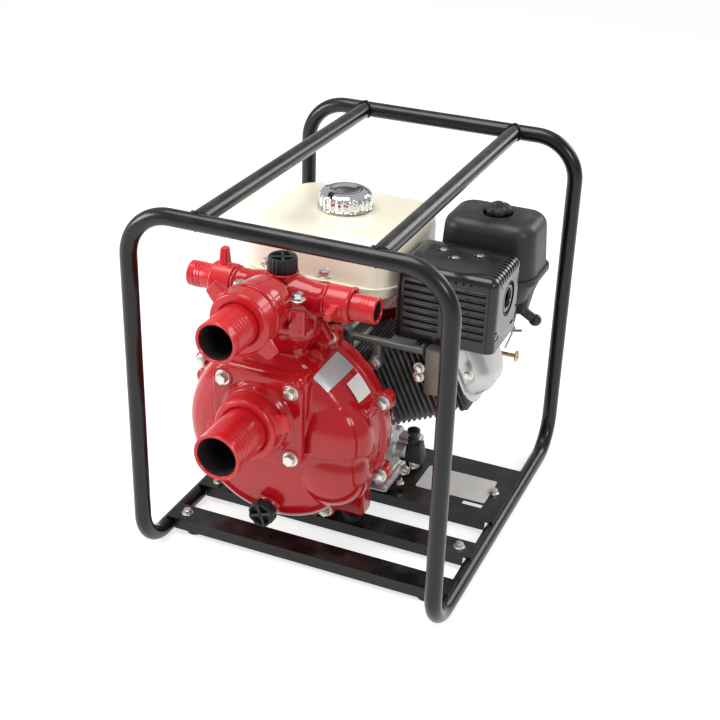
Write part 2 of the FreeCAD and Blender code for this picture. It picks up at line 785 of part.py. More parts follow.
def manifold():
    x, y = "crank_x", back("manifold_back")
    base = block("manifold_base", "manifold_side", "manifold_side", "manifold_plate",
                 "manifold_corner")
    place(base, x, y, "manifold_seat")
    top = doc.addObject("Part::Cone", "manifold_dome")
    bind(top, Radius1="manifold_dome_radius", Radius2="prime_neck_radius + 2",
         Height="manifold_dome_height")
    place(top, x, y, "manifold_seat")
    pieces = [base, top]
    for end, along in (("front", -1), ("rear", 1)):
        for side, across in (("left", -1), ("right", 1)):
            pieces.append(rod("manifold_boss_%s_%s" % (end, side),
                              "%s + %d * manifold_bolt_offset" % (x, across),
                              "%s + %d * manifold_bolt_offset" % (y, along), "manifold_seat",
                              "manifold_boss_radius", "manifold_boss_top - manifold_seat"))
    pieces.append(rod("manifold_prime_neck", x, y, "manifold_seat", "prime_neck_radius",
                      "prime_neck_top - manifold_seat"))
    ports = [fuse("manifold_body", *pieces)]
    shoulder = back("outlet_stub_back")
    ports.append(fuse(
        "manifold_outlet",
        rod("manifold_outlet_neck", x, shoulder, "outlet_height", "outlet_neck",
            "manifold_back - manifold_side / 2 - outlet_stub_back - 1", TO_BACK),
        rod("manifold_outlet_throat", x, shoulder, "outlet_height", "outlet_throat",
            "manifold_back - prime_neck_radius - outlet_stub_back", TO_BACK),
        rod("manifold_outlet_ring", x, shoulder, "outlet_height", "outlet_ring",
            "outlet_ring_length", TO_BACK),
        rod("manifold_outlet_thread", x, shoulder, "outlet_height", "outlet_stub",
            stub_length("outlet"), TO_FRONT),
    ))
    for side, sign, turn, inward in (("left", -1, TO_LEFT, TO_RIGHT),
                                     ("right", 1, TO_RIGHT, TO_LEFT)):
        edge = "%s + %d * side_reach" % (x, sign)
        ports.append(fuse(
            "manifold_" + side,
            rod("manifold_%s_neck" % side, x, y, "side_height", "side_neck", "side_reach", turn),
            rod("manifold_%s_ring" % side, edge, y, "side_height", "side_ring",
                "side_ring_length", inward),
            rod("manifold_%s_thread" % side, edge, y, "side_height", "side_stub",
                stub_length("side"), turn),
        ))
    solid = ports[0]
    for number, port in enumerate(ports[1:]):
        solid = fuse("manifold_casting_%d" % number, solid, port)
    bores = fuse(
        "manifold_bores",
        rod("manifold_outlet_bore", x, y + " - prime_neck_radius", "outlet_height",
            "outlet_bore - bore_step", "manifold_back", TO_FRONT),
        rod("manifold_inner_bore", x, y, "outlet_height", "riser_bore", "manifold_back",
            TO_FRONT),
        rod("manifold_cross_bore", x + " - 2 * side_reach", y, "side_height",
            "side_bore - bore_step", "4 * side_reach", TO_RIGHT),
        rod("manifold_inlet_bore", x, y, "manifold_seat", "riser_bore",
            "outlet_height - manifold_seat"),
        rod("manifold_prime_bore", x, y, "prime_neck_top - prime_bore_depth",
            "prime_bore + plug_gap", "prime_bore_depth"),
    )
    node("discharge_manifold", cut("discharge_manifold", solid, bores))
    couple("discharge_nut", "discharge_tail", "outlet", x, shoulder, "outlet_height",
           TO_FRONT, 138)
    couple("left_nut", "left_tail", "side", x + " - side_reach", y, "side_height", TO_LEFT, 90)
    couple("right_nut", "right_tail", "side", x + " + side_reach", y, "side_height",
           TO_RIGHT, 0)


def plug(name, radius, height, stem, stem_length):
    """A round plastic plug with a crossed recess in its face and a stem below."""
    piece = body(name)
    section = sketch(piece, name + "_section", "XZ_Plane")
    outline(section, [("0", "-(%s)" % stem_length), (stem, "-(%s)" % stem_length),
                      (stem, "0"), (radius, "0"), (radius, height), ("0", height)])
    revolve(piece, name + "_turned", section)
    quarter = sketch(piece, name + "_quarter", "XY_Plane", height)
    near = "cap_cross_width / 2"
    far = "0.62 * %s" % radius
    outline(quarter, [(near, near), (far, near), (far, far), (near, far)])
    recess = pocket(piece, name + "_recess", quarter, "cap_cross_depth")
    around(piece, name + "_recesses", [recess], "4")
    return piece


def plugs():
    cap = plug("priming_cap", "prime_cap_radius", "prime_cap_height", "prime_bore",
               "prime_bore_depth - plug_gap")
    place(cap, "crank_x", back("manifold_back"), "prime_neck_top + running_gap")
    node("priming_cap", cap)
    knob = plug("drain_knob", "knob_radius", "knob_length", "drain_bore",
                "drain_bore_depth - plug_gap")
    place(knob, "crank_x", back("drain_neck_front_back - running_gap"),
          "crank_height - drain_down", TO_FRONT)
    node("drain_knob", knob)


# Engine: crankcase and cover, leaning cylinder, muffler, tank, air cleaner, fan


def crankcase():
    x = "crank_x"
    pieces = [
        box("case_flange", x + " - base_flange_left", back("base_flange_back"), "engine_base",
            "base_flange_left + base_flange_right", "base_flange_depth", "base_flange_thick"),
        box("case_block", x + " - case_left", back("case_front_back"), "engine_base",
            "case_left + case_right", "case_depth", "case_top - engine_base"),
    ]
    neck = doc.addObject("Part::Box", "case_neck")
    bind(neck, Length="cylinder_foot", Width="2 * fin_half_wide", Height="2 * barrel_half + 8")
    lean(neck)
    neck.setExpression("Placement.Base.y", formula(back("cylinder_back - fin_half_wide")))
    neck.setExpression("Placement.Base.x",
                       formula("crank_x + (barrel_half + 4) * sin(cylinder_lean)"))
    neck.setExpression("Placement.Base.z",
                       formula("crank_height - (barrel_half + 4) * cos(cylinder_lean)"))
    pieces.append(neck)
    node("crankcase", fuse("crankcase", *pieces))


def crankcase_cover():
    x, z = "crank_x", "crank_height"
    face = back("cover_front_back + cover_seat_thick")
    thick = "case_front_back - cover_front_back - cover_seat_thick"
    pieces = [
        rod("cover_disc", x, face, z, "cover_radius", thick, TO_BACK),
        rod("cover_seat", x, back("cover_front_back"), z, "cover_seat_radius",
            "cover_seat_thick", TO_BACK),
        box("cover_sump", x + " - cover_drop", face, "engine_base + base_flange_thick",
            "2 * cover_drop", thick, z + " - engine_base - base_flange_thick"),
    ]
    for k in range(8):
        angle = "(%d * 45 + 22.5)" % k
        pieces.append(rod("cover_boss_%d" % k, "%s + cover_boss_circle * cos(%s)" % (x, angle),
                          face, "%s + cover_boss_circle * sin(%s)" % (z, angle),
                          "cover_boss_radius", "cover_seat_thick / 2", TO_FRONT))
    node("crankcase_cover", fuse("crankcase_cover", *pieces))
    filler = rod("oil_filler_cap", "crank_x + filler_across + plug_gap", back("filler_back"),
                 "filler_height", "filler_radius", "filler_length", TO_RIGHT)
    node("oil_filler_cap", filler)


def finned(name, start, end):
    """A finned stretch of the cylinder, along the body's X from start to end."""
    piece = body(name)
    core = sketch(piece, name + "_core", "YZ_Plane", start)
    rectangle(core, "-barrel_half", "-barrel_half", "2 * barrel_half", "2 * barrel_half")
    pad(piece, name + "_core_pad", core, "%s - %s" % (end, start))
    fin = sketch(piece, name + "_fin", "YZ_Plane", start)
    outline(fin, [("-fin_half_wide", "-fin_below"), ("fin_half_wide", "-fin_below"),
                  ("fin_half_wide", "fin_above"), ("-fin_half_wide", "fin_above")])
    raised = pad(piece, name + "_fin_pad", fin, "fin_thick")
    pattern = piece.newObject("PartDesign::LinearPattern", name + "_fins")
    pattern.Originals = [raised]
    pattern.Direction = (origin(piece, "X_Axis"), [""])
    count = int((size(end) - size(start) - size("fin_thick")) / size("fin_pitch")) + 1
    bind(pattern, Length="fin_pitch * %d" % (count - 1))
    pattern.Occurrences = count
    piece.Tip = pattern
    return lean(piece)


def under_guard(name, piece):
    """Clears a leaning piece from the room that the muffler and its guard take up."""
    room = box(name + "_room", GUARD_LEFT + " - running_gap", back("guard_back - case_depth"),
               "guard_bottom - 2 * running_gap - stay_thick", "2 * guard_width",
               "3 * case_depth", "guard_top")
    return cut(name, piece, room)


def cylinder_group():
    barrel = finned("barrel", "cylinder_foot", "cylinder_top")
    node("cylinder_block", under_guard("cylinder_block", barrel))
    head = finned("head", "cylinder_top", "head_top")
    node("cylinder_head", under_guard("cylinder_head", head))
    cover = body("rocker_cover")
    drawing = sketch(cover, "rocker_outline", "YZ_Plane", "head_top")
    rectangle(drawing, "-head_cover_half", "-fin_below", "2 * head_cover_half",
              "fin_below + fin_above")
    raised = pad(cover, "rocker_pad", drawing, "head_cover_top - head_top")

    def lengthways(edge):
        bounds = edge.BoundBox
        return bounds.XLength > 1 and bounds.YLength + bounds.ZLength < 1e-3
    round_edges(cover, "rocker_corners", raised, "head_cover_corner", lengthways)
    lean(cover)
    node("head_cover", under_guard("head_cover", cover))


def muffler():
    x = GUARD_LEFT + " + guard_width / 2"
    y = back("guard_back + guard_depth / 2")
    can = block("muffler_can", "guard_width - 2 * muffler_inset",
                "guard_depth - 2 * muffler_inset",
                "guard_top - guard_bottom - muffler_drop - muffler_lift", "muffler_round")
    place(can, x, y, "guard_bottom + muffler_lift")
    pipe = rod("muffler_pipe", x, y, "guard_bottom - stay_thick - running_gap",
               "exhaust_radius", "muffler_lift + stay_thick + 1")
    node("muffler", fuse("muffler", can, pipe))


def muffler_guard():
    x = GUARD_LEFT + " + guard_width / 2"
    y = back("guard_back + guard_depth / 2")
    outer = block("guard_outer", "guard_width", "guard_depth", "guard_top - guard_bottom",
                  "guard_corner")
    place(outer, x, y, "guard_bottom")
    inner = block("guard_inner", "guard_width - 2 * guard_sheet", "guard_depth - 2 * guard_sheet",
                  "guard_top - guard_bottom - guard_sheet + 1", "guard_corner - guard_sheet")
    place(inner, x, y, "guard_bottom - 1")
    shell = cut("guard_shell", outer, inner)
    slots = []
    for k in range(int(size("guard_slot_count"))):
        z = "guard_bottom + guard_slot_inset + %d * guard_slot_pitch" % k
        for half, start in (("left", "guard_slot_inset"),
                            ("right", "(guard_width + guard_slot_inset) / 2")):
            slots.append(box("guard_slot_%s_%d" % (half, k), GUARD_LEFT + " + " + start,
                             back("guard_back - 1"), z,
                             "(guard_width - 3 * guard_slot_inset) / 2", "guard_sheet + 2",
                             "guard_slot_height"))
    port = rod("guard_port", GUARD_LEFT + " + guard_width - 2 * guard_sheet", y,
               "(guard_bottom + guard_top) / 2", "guard_port_radius", "4 * guard_sheet", TO_RIGHT)
    pierced = cut("guard_pierced", shell, fuse("guard_slots", port, *slots))
    studs = []
    for k, (across, along) in enumerate(((-0.25, 0.15), (0.0, -0.15), (0.25, 0.15))):
        studs.append(rod("guard_dimple_%d" % k, "%s + %s * guard_width" % (x, across),
                         "%s + %s * guard_depth" % (y, along), "guard_top - guard_sheet",
                         "dimple_radius", "muffler_drop - guard_sheet - running_gap",
                         turned((1, 0, 0), (0, -1, 0))))
    node("muffler_guard", fuse("muffler_guard", pierced, *studs))


def muffler_stay():
    """The bracket that ties the muffler guard to the top of the crankcase."""
    left = "crank_x + case_right - stay_overlap"
    reach = "%s + stay_tab - (%s)" % (GUARD_LEFT, left)
    upright = box("stay_plate", left, back("case_front_back - stay_thick"), "stay_bottom",
                  reach, "stay_thick", "guard_bottom - running_gap - stay_bottom")
    tab = box("stay_tab_plate", GUARD_LEFT, back("case_front_back - stay_thick"),
              "guard_bottom - running_gap - stay_thick", "stay_tab",
              "guard_back - case_front_back + stay_thick + stay_tab", "stay_thick")
    node("muffler_stay", fuse("muffler_stay", upright, tab))


def fuel_tank():
    x = "tank_left + tank_width / 2"
    y = back("tank_front_back + tank_depth / 2")
    tank = body("tank_shell")
    drawing = sketch(tank, "tank_outline", "XY_Plane")
    rectangle(drawing, "-tank_width / 2", "-tank_depth / 2", "tank_width", "tank_depth")
    raised = pad(tank, "tank_pad", drawing, "tank_top - tank_bottom")
    corners = round_edges(tank, "tank_corners", raised, "tank_corner", is_upright)
    round_edges(tank, "tank_shoulders", corners, "tank_shoulder",
                edges_at(size("tank_top") - size("tank_bottom")))
    place(tank, x, y, "tank_bottom")
    seam = block("tank_seam", "tank_width + 2 * tank_seam_lip", "tank_depth + 2 * tank_seam_lip",
                 "tank_seam_thick", "tank_corner + tank_seam_lip")
    place(seam, x, y, "tank_bottom + tank_seam_height")
    neck = rod("tank_neck", "crank_x", back("fuel_cap_back"), "tank_top", "fuel_neck_radius",
               "fuel_neck_height")
    node("fuel_tank", fuse("fuel_tank", tank, seam, neck))
    posts = []
    for end, along in (("front", "case_front_back"),
                       ("rear", "case_front_back + case_depth - bracket_depth")):
        for side, across in (("left", "crank_x - case_left"),
                             ("right", "crank_x + case_right - bracket_width")):
            posts.append(box("tank_bracket_%s_%s" % (end, side), across, back(along), "case_top",
                             "bracket_width", "bracket_depth", "tank_bottom - case_top"))
    node("tank_brackets", fuse("tank_brackets", *posts))


def fuel_cap():
    piece = body("fuel_cap")
    section = sketch(piece, "fuel_cap_section", "XZ_Plane")
    inner = "(fuel_neck_radius + thread_gap)"
    ceiling = "(fuel_neck_height + running_gap - fuel_cap_seat)"
    outline(section, [(inner, "0"), ("fuel_cap_radius", "0"),
                      ("fuel_cap_radius", "fuel_cap_height - fuel_cap_wall"),
                      ("fuel_cap_radius - fuel_cap_wall", "fuel_cap_height"),
                      ("0", "fuel_cap_height"), ("0", ceiling), (inner, ceiling)])
    revolve(piece, "fuel_cap_turned", section)
    flute = sketch(piece, "fuel_cap_flute", "XY_Plane", "fuel_cap_height")
    circle(flute, "fuel_cap_radius + fuel_flute_radius / 2", "0", "fuel_flute_radius")
    notch = pocket(piece, "fuel_cap_notch", flute, "fuel_cap_height")
    around(piece, "fuel_cap_flutes", [notch], "fuel_flute_count")
    place(piece, "crank_x", back("fuel_cap_back"), "tank_top + fuel_cap_seat")
    node("fuel_cap", piece)


def air_cleaner():
    x = CLEANER_LEFT + " + cleaner_width / 2"
    y = back("cleaner_front_back + cleaner_depth / 2")
    case = block("air_cleaner_case", "cleaner_width", "cleaner_depth",
                 "cleaner_step - cleaner_bottom", "cleaner_corner")
    place(case, x, y, "cleaner_bottom")
    node("air_cleaner_case", case)
    cover = block("air_cleaner_cover", "cleaner_width - 2 * cleaner_shrink",
                  "cleaner_depth - 2 * cleaner_shrink", "cleaner_top - cleaner_step",
                  "cleaner_corner")
    round_edges(cover, "air_cleaner_cover_top", cover.Tip, "cleaner_corner / 2",
                edges_at(size("cleaner_top") - size("cleaner_step")))
    place(cover, x, y, "cleaner_step")
    node("air_cleaner_cover", cover)
    knob = rod("air_cleaner_knob", x, y, "cleaner_top + running_gap", "cleaner_knob_radius",
               "cleaner_knob_height")
    node("air_cleaner_knob", knob)
    carb = box("carburettor", CLEANER_LEFT + " + carb_inset", back("cylinder_back + fin_half_wide + running_gap"),
               "carb_bottom", "carb_width", "carb_depth",
               "cleaner_bottom - carb_bottom - running_gap")
    node("carburettor", carb)


def fan_side():
    x, z = "crank_x", "crank_height"
    disc = rod("fan_disc", x, back(FAN_BACK), z, "fan_radius", "fan_depth", TO_BACK)
    arm = doc.addObject("Part::Box", "fan_arm")
    bind(arm, Length="fan_arm_reach", Width="fan_arm_depth", Height="2 * fan_arm_half")
    lean(arm)
    arm.setExpression("Placement.Base.y", formula(back(FAN_BACK)))
    arm.setExpression("Placement.Base.x",
                      formula("crank_x + fan_arm_half * sin(cylinder_lean)"))
    arm.setExpression("Placement.Base.z",
                      formula("crank_height - fan_arm_half * cos(cylinder_lean)"))
    node("fan_cover", fuse("fan_cover", disc, arm))

    starter = body("recoil_starter")
    drawing = sketch(starter, "starter_outline", "XY_Plane")
    circle(drawing, "0", "0", "starter_radius")
    raised = pad(starter, "starter_pad", drawing, "starter_depth")
    rounded = round_edges(starter, "starter_edge", raised, "starter_round",
                          edges_at(size("starter_depth")))
    vent = sketch(starter, "starter_vent", "XY_Plane", "starter_depth")
    rectangle(vent, "starter_vent_circle - starter_vent_length / 2", "-starter_vent_width / 2",
              "starter_vent_length", "starter_vent_width")
    opening = pocket(starter, "starter_vent_cut", vent, "starter_vent_depth")
    around(starter, "starter_vents", [opening], "starter_vent_count")
    place(starter, x, back(FAN_BACK + " + fan_depth"), z, TO_BACK)
    node("recoil_starter", starter)
    handle = rod("recoil_handle", x + " + starter_radius * 0.72",
                 back(FAN_BACK + " + fan_depth + handle_radius + running_gap"),
                 z + " + starter_radius * 0.72", "handle_radius", "handle_length",
                 turned((0, 1, 0), (-1, 0, 1)))
    node("recoil_handle", handle)


frame()
cross_members()
rubber()
pump_casing()
pump_adapter()
suction_port()
manifold()
plugs()
crankcase()
crankcase_cover()
cylinder_group()
muffler()
muffler_guard()
muffler_stay()
fuel_tank()
fuel_cap()
air_cleaner()
fan_side()
doc.recompute()

for obj in doc.Objects:
    if "Invalid" in obj.State or "Error" in obj.State:
        raise RuntimeError("%s did not build: %s" % (obj.Name, obj.State))
for name, obj in NODES.items():
    if obj.Shape.isNull() or not obj.Shape.isValid() or not obj.Shape.Solids:
        raise RuntimeError(name + " has no valid solid")

os.makedirs("parts", exist_ok=True)
for name, obj in NODES.items():
    obj.Shape.exportStep("parts/%s.step" % name)
print(len(NODES), "nodes")
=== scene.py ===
import math

import bpy
from mathutils import Matrix, Vector


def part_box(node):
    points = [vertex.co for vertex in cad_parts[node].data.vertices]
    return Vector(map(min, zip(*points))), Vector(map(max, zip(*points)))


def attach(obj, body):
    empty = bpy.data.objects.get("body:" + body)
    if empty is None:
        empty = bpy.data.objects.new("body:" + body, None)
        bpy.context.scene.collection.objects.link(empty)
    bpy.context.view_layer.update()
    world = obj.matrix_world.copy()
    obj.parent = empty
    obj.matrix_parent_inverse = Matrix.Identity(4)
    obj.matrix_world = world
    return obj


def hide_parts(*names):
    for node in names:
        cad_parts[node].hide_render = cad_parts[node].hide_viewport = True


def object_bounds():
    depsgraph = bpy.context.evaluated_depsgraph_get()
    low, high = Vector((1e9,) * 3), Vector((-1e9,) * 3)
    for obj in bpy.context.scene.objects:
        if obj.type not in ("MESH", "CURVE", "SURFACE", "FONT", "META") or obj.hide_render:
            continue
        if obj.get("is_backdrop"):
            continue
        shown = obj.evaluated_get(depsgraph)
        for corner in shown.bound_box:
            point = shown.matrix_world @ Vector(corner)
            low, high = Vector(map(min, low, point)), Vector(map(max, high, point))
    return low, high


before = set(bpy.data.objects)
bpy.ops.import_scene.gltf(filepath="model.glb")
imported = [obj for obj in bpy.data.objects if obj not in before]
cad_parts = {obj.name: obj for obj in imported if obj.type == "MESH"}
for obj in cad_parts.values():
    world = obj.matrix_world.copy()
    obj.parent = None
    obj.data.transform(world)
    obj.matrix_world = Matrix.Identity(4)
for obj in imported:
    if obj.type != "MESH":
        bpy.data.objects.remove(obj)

bl_info = {
    "name": "Water Pump Finish",
    "version": (1, 0, 0),
    "blender": (4, 5, 0),
    "location": "3D View > Sidebar > Pump",
    "description": "Dresses an engine-driven water pump in its castings, hardware and finishes",
    "category": "Object",
}

MM = 0.001
ROOT = "pump_set"
RIGHT = Vector((1, 0, 0))
LEFT = -RIGHT
REAR = Vector((0, 1, 0))
FRONT = -REAR
UP = Vector((0, 0, 1))
DOWN = -UP
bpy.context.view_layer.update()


# Places read from the frame


def middle(node):
    low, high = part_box(node)
    return (low + high) / 2


def span(node):
    low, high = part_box(node)
    return high - low


TUBE = span("top_bar_left").x
HOOP_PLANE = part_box("front_hoop")[0].y + TUBE / 2
CRANK = middle("recoil_starter")
LEAN = math.radians(25)


def at(x, back, height):
    """A point in millimetres: across, behind the front hoop, and above the ground."""
    return Vector((x * MM, HOOP_PLANE + back * MM, height * MM))


def about_crank(radius, degrees, back):
    """A point round the crank axis; 0 degrees points right and 90 points up."""
    angle = math.radians(degrees)
    return Vector((CRANK.x + radius * MM * math.cos(angle), HOOP_PLANE + back * MM,
                   CRANK.z + radius * MM * math.sin(angle)))


def mm(*values):
    return tuple(value * MM for value in values)


def shade(red, green, blue):
    """A colour as Blender stores it, from the usual 0 to 255 numbers."""
    def linear(level):
        share = level / 255
        return share / 12.92 if share <= 0.04045 else ((share + 0.055) / 1.055) ** 2.4
    return (linear(red), linear(green), linear(blue), 1.0)


# Modelling by hand: selection, primitives and modifiers


KINDS = ("vertices", "edges", "polygons")


def only(*objects):
    bpy.ops.object.select_all(action="DESELECT")
    for obj in objects:
        obj.select_set(True)
    bpy.context.view_layer.objects.active = objects[0]


def settled(name):
    """Names the new primitive and puts its place into its mesh."""
    obj = bpy.context.object
    obj.name = name
    obj.data.name = name
    bpy.ops.object.transform_apply(location=True, rotation=True, scale=True)
    return obj


def placed(obj, start, turn):
    """Stands a piece at a place, turned, and puts that into its mesh."""
    obj.matrix_world = Matrix.Translation(start) @ turn
    only(obj)
    return settled(obj.name)


def edit(obj, kind, wanted, step, **settings):
    """Runs one edit-mode step on the elements for which wanted(element) holds."""
    only(obj)
    mesh = obj.data
    for group in KINDS:
        elements = getattr(mesh, group)
        elements.foreach_set("select", [False] * len(elements))
    bpy.context.tool_settings.mesh_select_mode = [group == kind for group in KINDS]
    for element in getattr(mesh, kind):
        element.select = wanted(element)
    bpy.ops.object.mode_set(mode="EDIT")
    step(**settings)
    bpy.ops.object.mode_set(mode="OBJECT")
    return obj


def everything(element):
    return True


def runs_along(obj, axis, share=0.9):
    """A test for the edges of a piece that run along an axis."""
    def wanted(edge):
        first, second = (obj.data.vertices[k].co for k in edge.vertices)
        along = second - first
        return abs(along.dot(axis)) > share * along.length
    return wanted


def modify(obj, kind, **settings):
    only(obj)
    modifier = obj.modifiers.new(kind.title(), kind)
    for key, value in settings.items():
        setattr(modifier, key, value)
    bpy.ops.object.modifier_apply(modifier=modifier.name)
    return obj


def soften(obj, width, segments=2, limit=30):
    """Rounds the sharp edges and shades the piece smooth between them."""
    modify(obj, "BEVEL", width=width * MM, segments=segments, limit_method="ANGLE",
           angle_limit=math.radians(limit), use_clamp_overlap=True)
    return smooth(obj)


def smooth(obj, limit=35):
    only(obj)
    bpy.ops.object.shade_smooth_by_angle(angle=math.radians(limit))
    return obj


def bar(name, start, toward, radius, length, sides=48):
    """A round bar from start; radius and length in millimetres."""
    bpy.ops.object.select_all(action="DESELECT")
    direction = Vector(toward).normalized()
    bpy.ops.mesh.primitive_cylinder_add(
        vertices=sides, radius=radius * MM, depth=length * MM,
        location=start + direction * length * MM / 2,
        rotation=direction.to_track_quat("Z", "Y").to_euler())
    return settled(name)


def slab(name, low, high):
    """A block between two corners."""
    bpy.ops.object.select_all(action="DESELECT")
    bpy.ops.mesh.primitive_cube_add(size=1, location=(low + high) / 2)
    obj = bpy.context.object
    obj.scale = high - low
    return settled(name)


def ball(name, place, radii, sides=48):
    """An egg shape with its three radii in millimetres."""
    bpy.ops.object.select_all(action="DESELECT")
    bpy.ops.mesh.primitive_uv_sphere_add(segments=sides, ring_count=sides // 2, radius=1,
                                         location=place)
    bpy.context.object.scale = Vector(radii) * MM
    return settled(name)


def turned(name, start, toward, profile, sides=64, shell=False):
    """A turned piece: profile lists radius and height above start, in millimetres."""
    bpy.ops.object.select_all(action="DESELECT")
    radius, height = profile[0]
    bpy.ops.mesh.primitive_circle_add(vertices=sides, radius=radius * MM,
                                      location=(0, 0, height * MM))
    obj = settled(name)
    bpy.context.tool_settings.mesh_select_mode = (False, True, False)
    bpy.ops.object.mode_set(mode="EDIT")
    bpy.ops.mesh.select_all(action="SELECT")
    for next_radius, next_height in profile[1:]:
        rise = (0, 0, (next_height - height) * MM)
        bpy.ops.mesh.extrude_edges_move(TRANSFORM_OT_translate={"value": rise})
        factor = next_radius / radius
        bpy.ops.transform.resize(value=(factor, factor, 1),
                                 center_override=(0, 0, next_height * MM))
        radius, height = next_radius, next_height
    bpy.ops.mesh.select_all(action="SELECT")
    if shell:
        bpy.ops.mesh.remove_doubles(threshold=1e-7)
    else:
        bpy.ops.mesh.fill_holes(sides=0)
    bpy.ops.mesh.normals_make_consistent(inside=False)
    bpy.ops.object.mode_set(mode="OBJECT")
    turn = Vector(toward).to_track_quat("Z", "Y").to_matrix().to_4x4()
    return placed(obj, start, turn)


def joined(name, pieces):
    only(*pieces)
    if len(pieces) > 1:
        bpy.ops.object.join()
    obj = bpy.context.object
    obj.name = name
    obj.data.name = name
    return obj


def cast_together(name, pieces, voxel, rounds):
    """Melts overlapping forms into one skin with rounded inside corners, as a casting has."""
    obj = joined(name, pieces)
    modify(obj, "REMESH", mode="VOXEL", voxel_size=voxel)
    modify(obj, "SMOOTH", factor=0.5, iterations=rounds)
    bpy.ops.object.shade_smooth()
    return obj


def bored(obj, *tools):
    """Cuts the tools out of a piece and removes them."""
    for tool in tools:
        modify(obj, "BOOLEAN", operation="DIFFERENCE", object=tool, solver="EXACT")
        bpy.data.objects.remove(tool)
    return obj


def copies(name, pattern, places):
    """One piece made of copies of a pattern, each stood at a place and turned its way."""
    made = []
    for place, toward in places:
        copy = pattern.copy()
        copy.data = pattern.data.copy()
        bpy.context.collection.objects.link(copy)
        turn = Vector(toward).to_track_quat("Z", "Y").to_matrix().to_4x4()
        made.append(placed(copy, place, turn))
    bpy.data.objects.remove(pattern)
    return joined(name, made)


def hex_bolt(across, height, washer, washer_thick):
    """A hexagon head on its washer, standing on the origin along Z."""
    head = bar("hex_bolt", Vector((0, 0, washer_thick * MM)), UP, across / math.sqrt(3), height, 6)
    soften(head, 0.6)
    ring = turned("hex_washer", Vector(), UP, [(washer, 0), (washer, washer_thick * 0.7),
                                               (washer - 0.5, washer_thick),
                                               (across * 0.4, washer_thick)], 32)
    smooth(ring)
    return joined("hex_bolt", [head, ring])


# Shader node groups and materials


def new_node(tree, kind, inputs=None, **settings):
    node = tree.nodes.new(kind)
    for key, value in settings.items():
        setattr(node, key, value)
    for key, value in (inputs or {}).items():
        if isinstance(value, bpy.types.NodeSocket):
            tree.links.new(value, node.inputs[key])
        else:
            node.inputs[key].default_value = value
    return node


def new_group(name, inputs, outputs):
    tree = bpy.data.node_groups.new(name, "ShaderNodeTree")
    for label, kind, value in inputs:
        socket = tree.interface.new_socket(name=label, in_out="INPUT", socket_type=kind)
        socket.default_value = value
    for label, kind in outputs:
        tree.interface.new_socket(name=label, in_out="OUTPUT", socket_type=kind)
    return tree, tree.nodes.new("NodeGroupInput"), tree.nodes.new("NodeGroupOutput")


def surface_relief():
    """Fine grain over a slow unevenness, as a height."""
    tree, given, out = new_group("Surface relief",
                                 [("Grain Size", "NodeSocketFloat", 1.0),
                                  ("Wave Size", "NodeSocketFloat", 1.0),
                                  ("Wave Share", "NodeSocketFloat", 0.5)],
                                 [("Height", "NodeSocketFloat")])
    place = new_node(tree, "ShaderNodeTexCoord").outputs["Object"]
    grain = new_node(tree, "ShaderNodeTexNoise",
                     {"Vector": place, "Scale": given.outputs["Grain Size"], "Detail": 3.0,
                      "Roughness": 0.6})
    wave = new_node(tree, "ShaderNodeTexNoise",
                    {"Vector": place, "Scale": given.outputs["Wave Size"], "Detail": 1.0})
    both = new_node(tree, "ShaderNodeMix",
                    {"Factor": given.outputs["Wave Share"], "A": grain.outputs["Fac"],
                     "B": wave.outputs["Fac"]})
    tree.links.new(both.outputs["Result"], out.inputs["Height"])
    return tree


def light_dust():
    """Tints a colour a little where dust would settle, and breaks up its gloss."""
    tree, given, out = new_group("Light dust",
                                 [("Colour", "NodeSocketColor", (0.5, 0.5, 0.5, 1)),
                                  ("Dust Colour", "NodeSocketColor", (0.6, 0.58, 0.55, 1)),
                                  ("Amount", "NodeSocketFloat", 0.1),
                                  ("Roughness", "NodeSocketFloat", 0.3),
                                  ("Spread", "NodeSocketFloat", 0.1)],
                                 [("Colour", "NodeSocketColor"), ("Roughness", "NodeSocketFloat")])
    place = new_node(tree, "ShaderNodeTexCoord").outputs["Object"]
    facing = new_node(tree, "ShaderNodeSeparateXYZ",
                      {"Vector": new_node(tree, "ShaderNodeNewGeometry").outputs["Normal"]})
    cloud = new_node(tree, "ShaderNodeTexNoise", {"Vector": place, "Scale": 38.0, "Detail": 5.0})
    speck = new_node(tree, "ShaderNodeTexNoise", {"Vector": place, "Scale": 620.0, "Detail": 2.0})
    upward = new_node(tree, "ShaderNodeMapRange",
                      {"Value": facing.outputs["Z"], "From Min": 0.1, "From Max": 1.0})
    patch = new_node(tree, "ShaderNodeMapRange",
                     {"Value": cloud.outputs["Fac"], "From Min": 0.42, "From Max": 0.7})
    lying = new_node(tree, "ShaderNodeMath",
                     {0: upward.outputs["Result"], 1: patch.outputs["Result"]},
                     operation="MULTIPLY")
    spotted = new_node(tree, "ShaderNodeMath",
                       {0: lying.outputs["Value"], 1: speck.outputs["Fac"]}, operation="MULTIPLY")
    factor = new_node(tree, "ShaderNodeMath",
                      {0: spotted.outputs["Value"], 1: given.outputs["Amount"]},
                      operation="MULTIPLY")
    tint = new_node(tree, "ShaderNodeMix", data_type="RGBA")
    tree.links.new(factor.outputs["Value"], tint.inputs["Factor"])
    tree.links.new(given.outputs["Colour"], tint.inputs["A"])
    tree.links.new(given.outputs["Dust Colour"], tint.inputs["B"])
    tree.links.new(tint.outputs["Result"], out.inputs["Colour"])
    spread = new_node(tree, "ShaderNodeMath",
                      {0: cloud.outputs["Fac"], 1: given.outputs["Spread"]}, operation="MULTIPLY")
    rough = new_node(tree, "ShaderNodeMath",
                     {0: given.outputs["Roughness"], 1: spread.outputs["Value"]}, operation="ADD")
    tree.links.new(rough.outputs["Value"], out.inputs["Roughness"])
    return tree


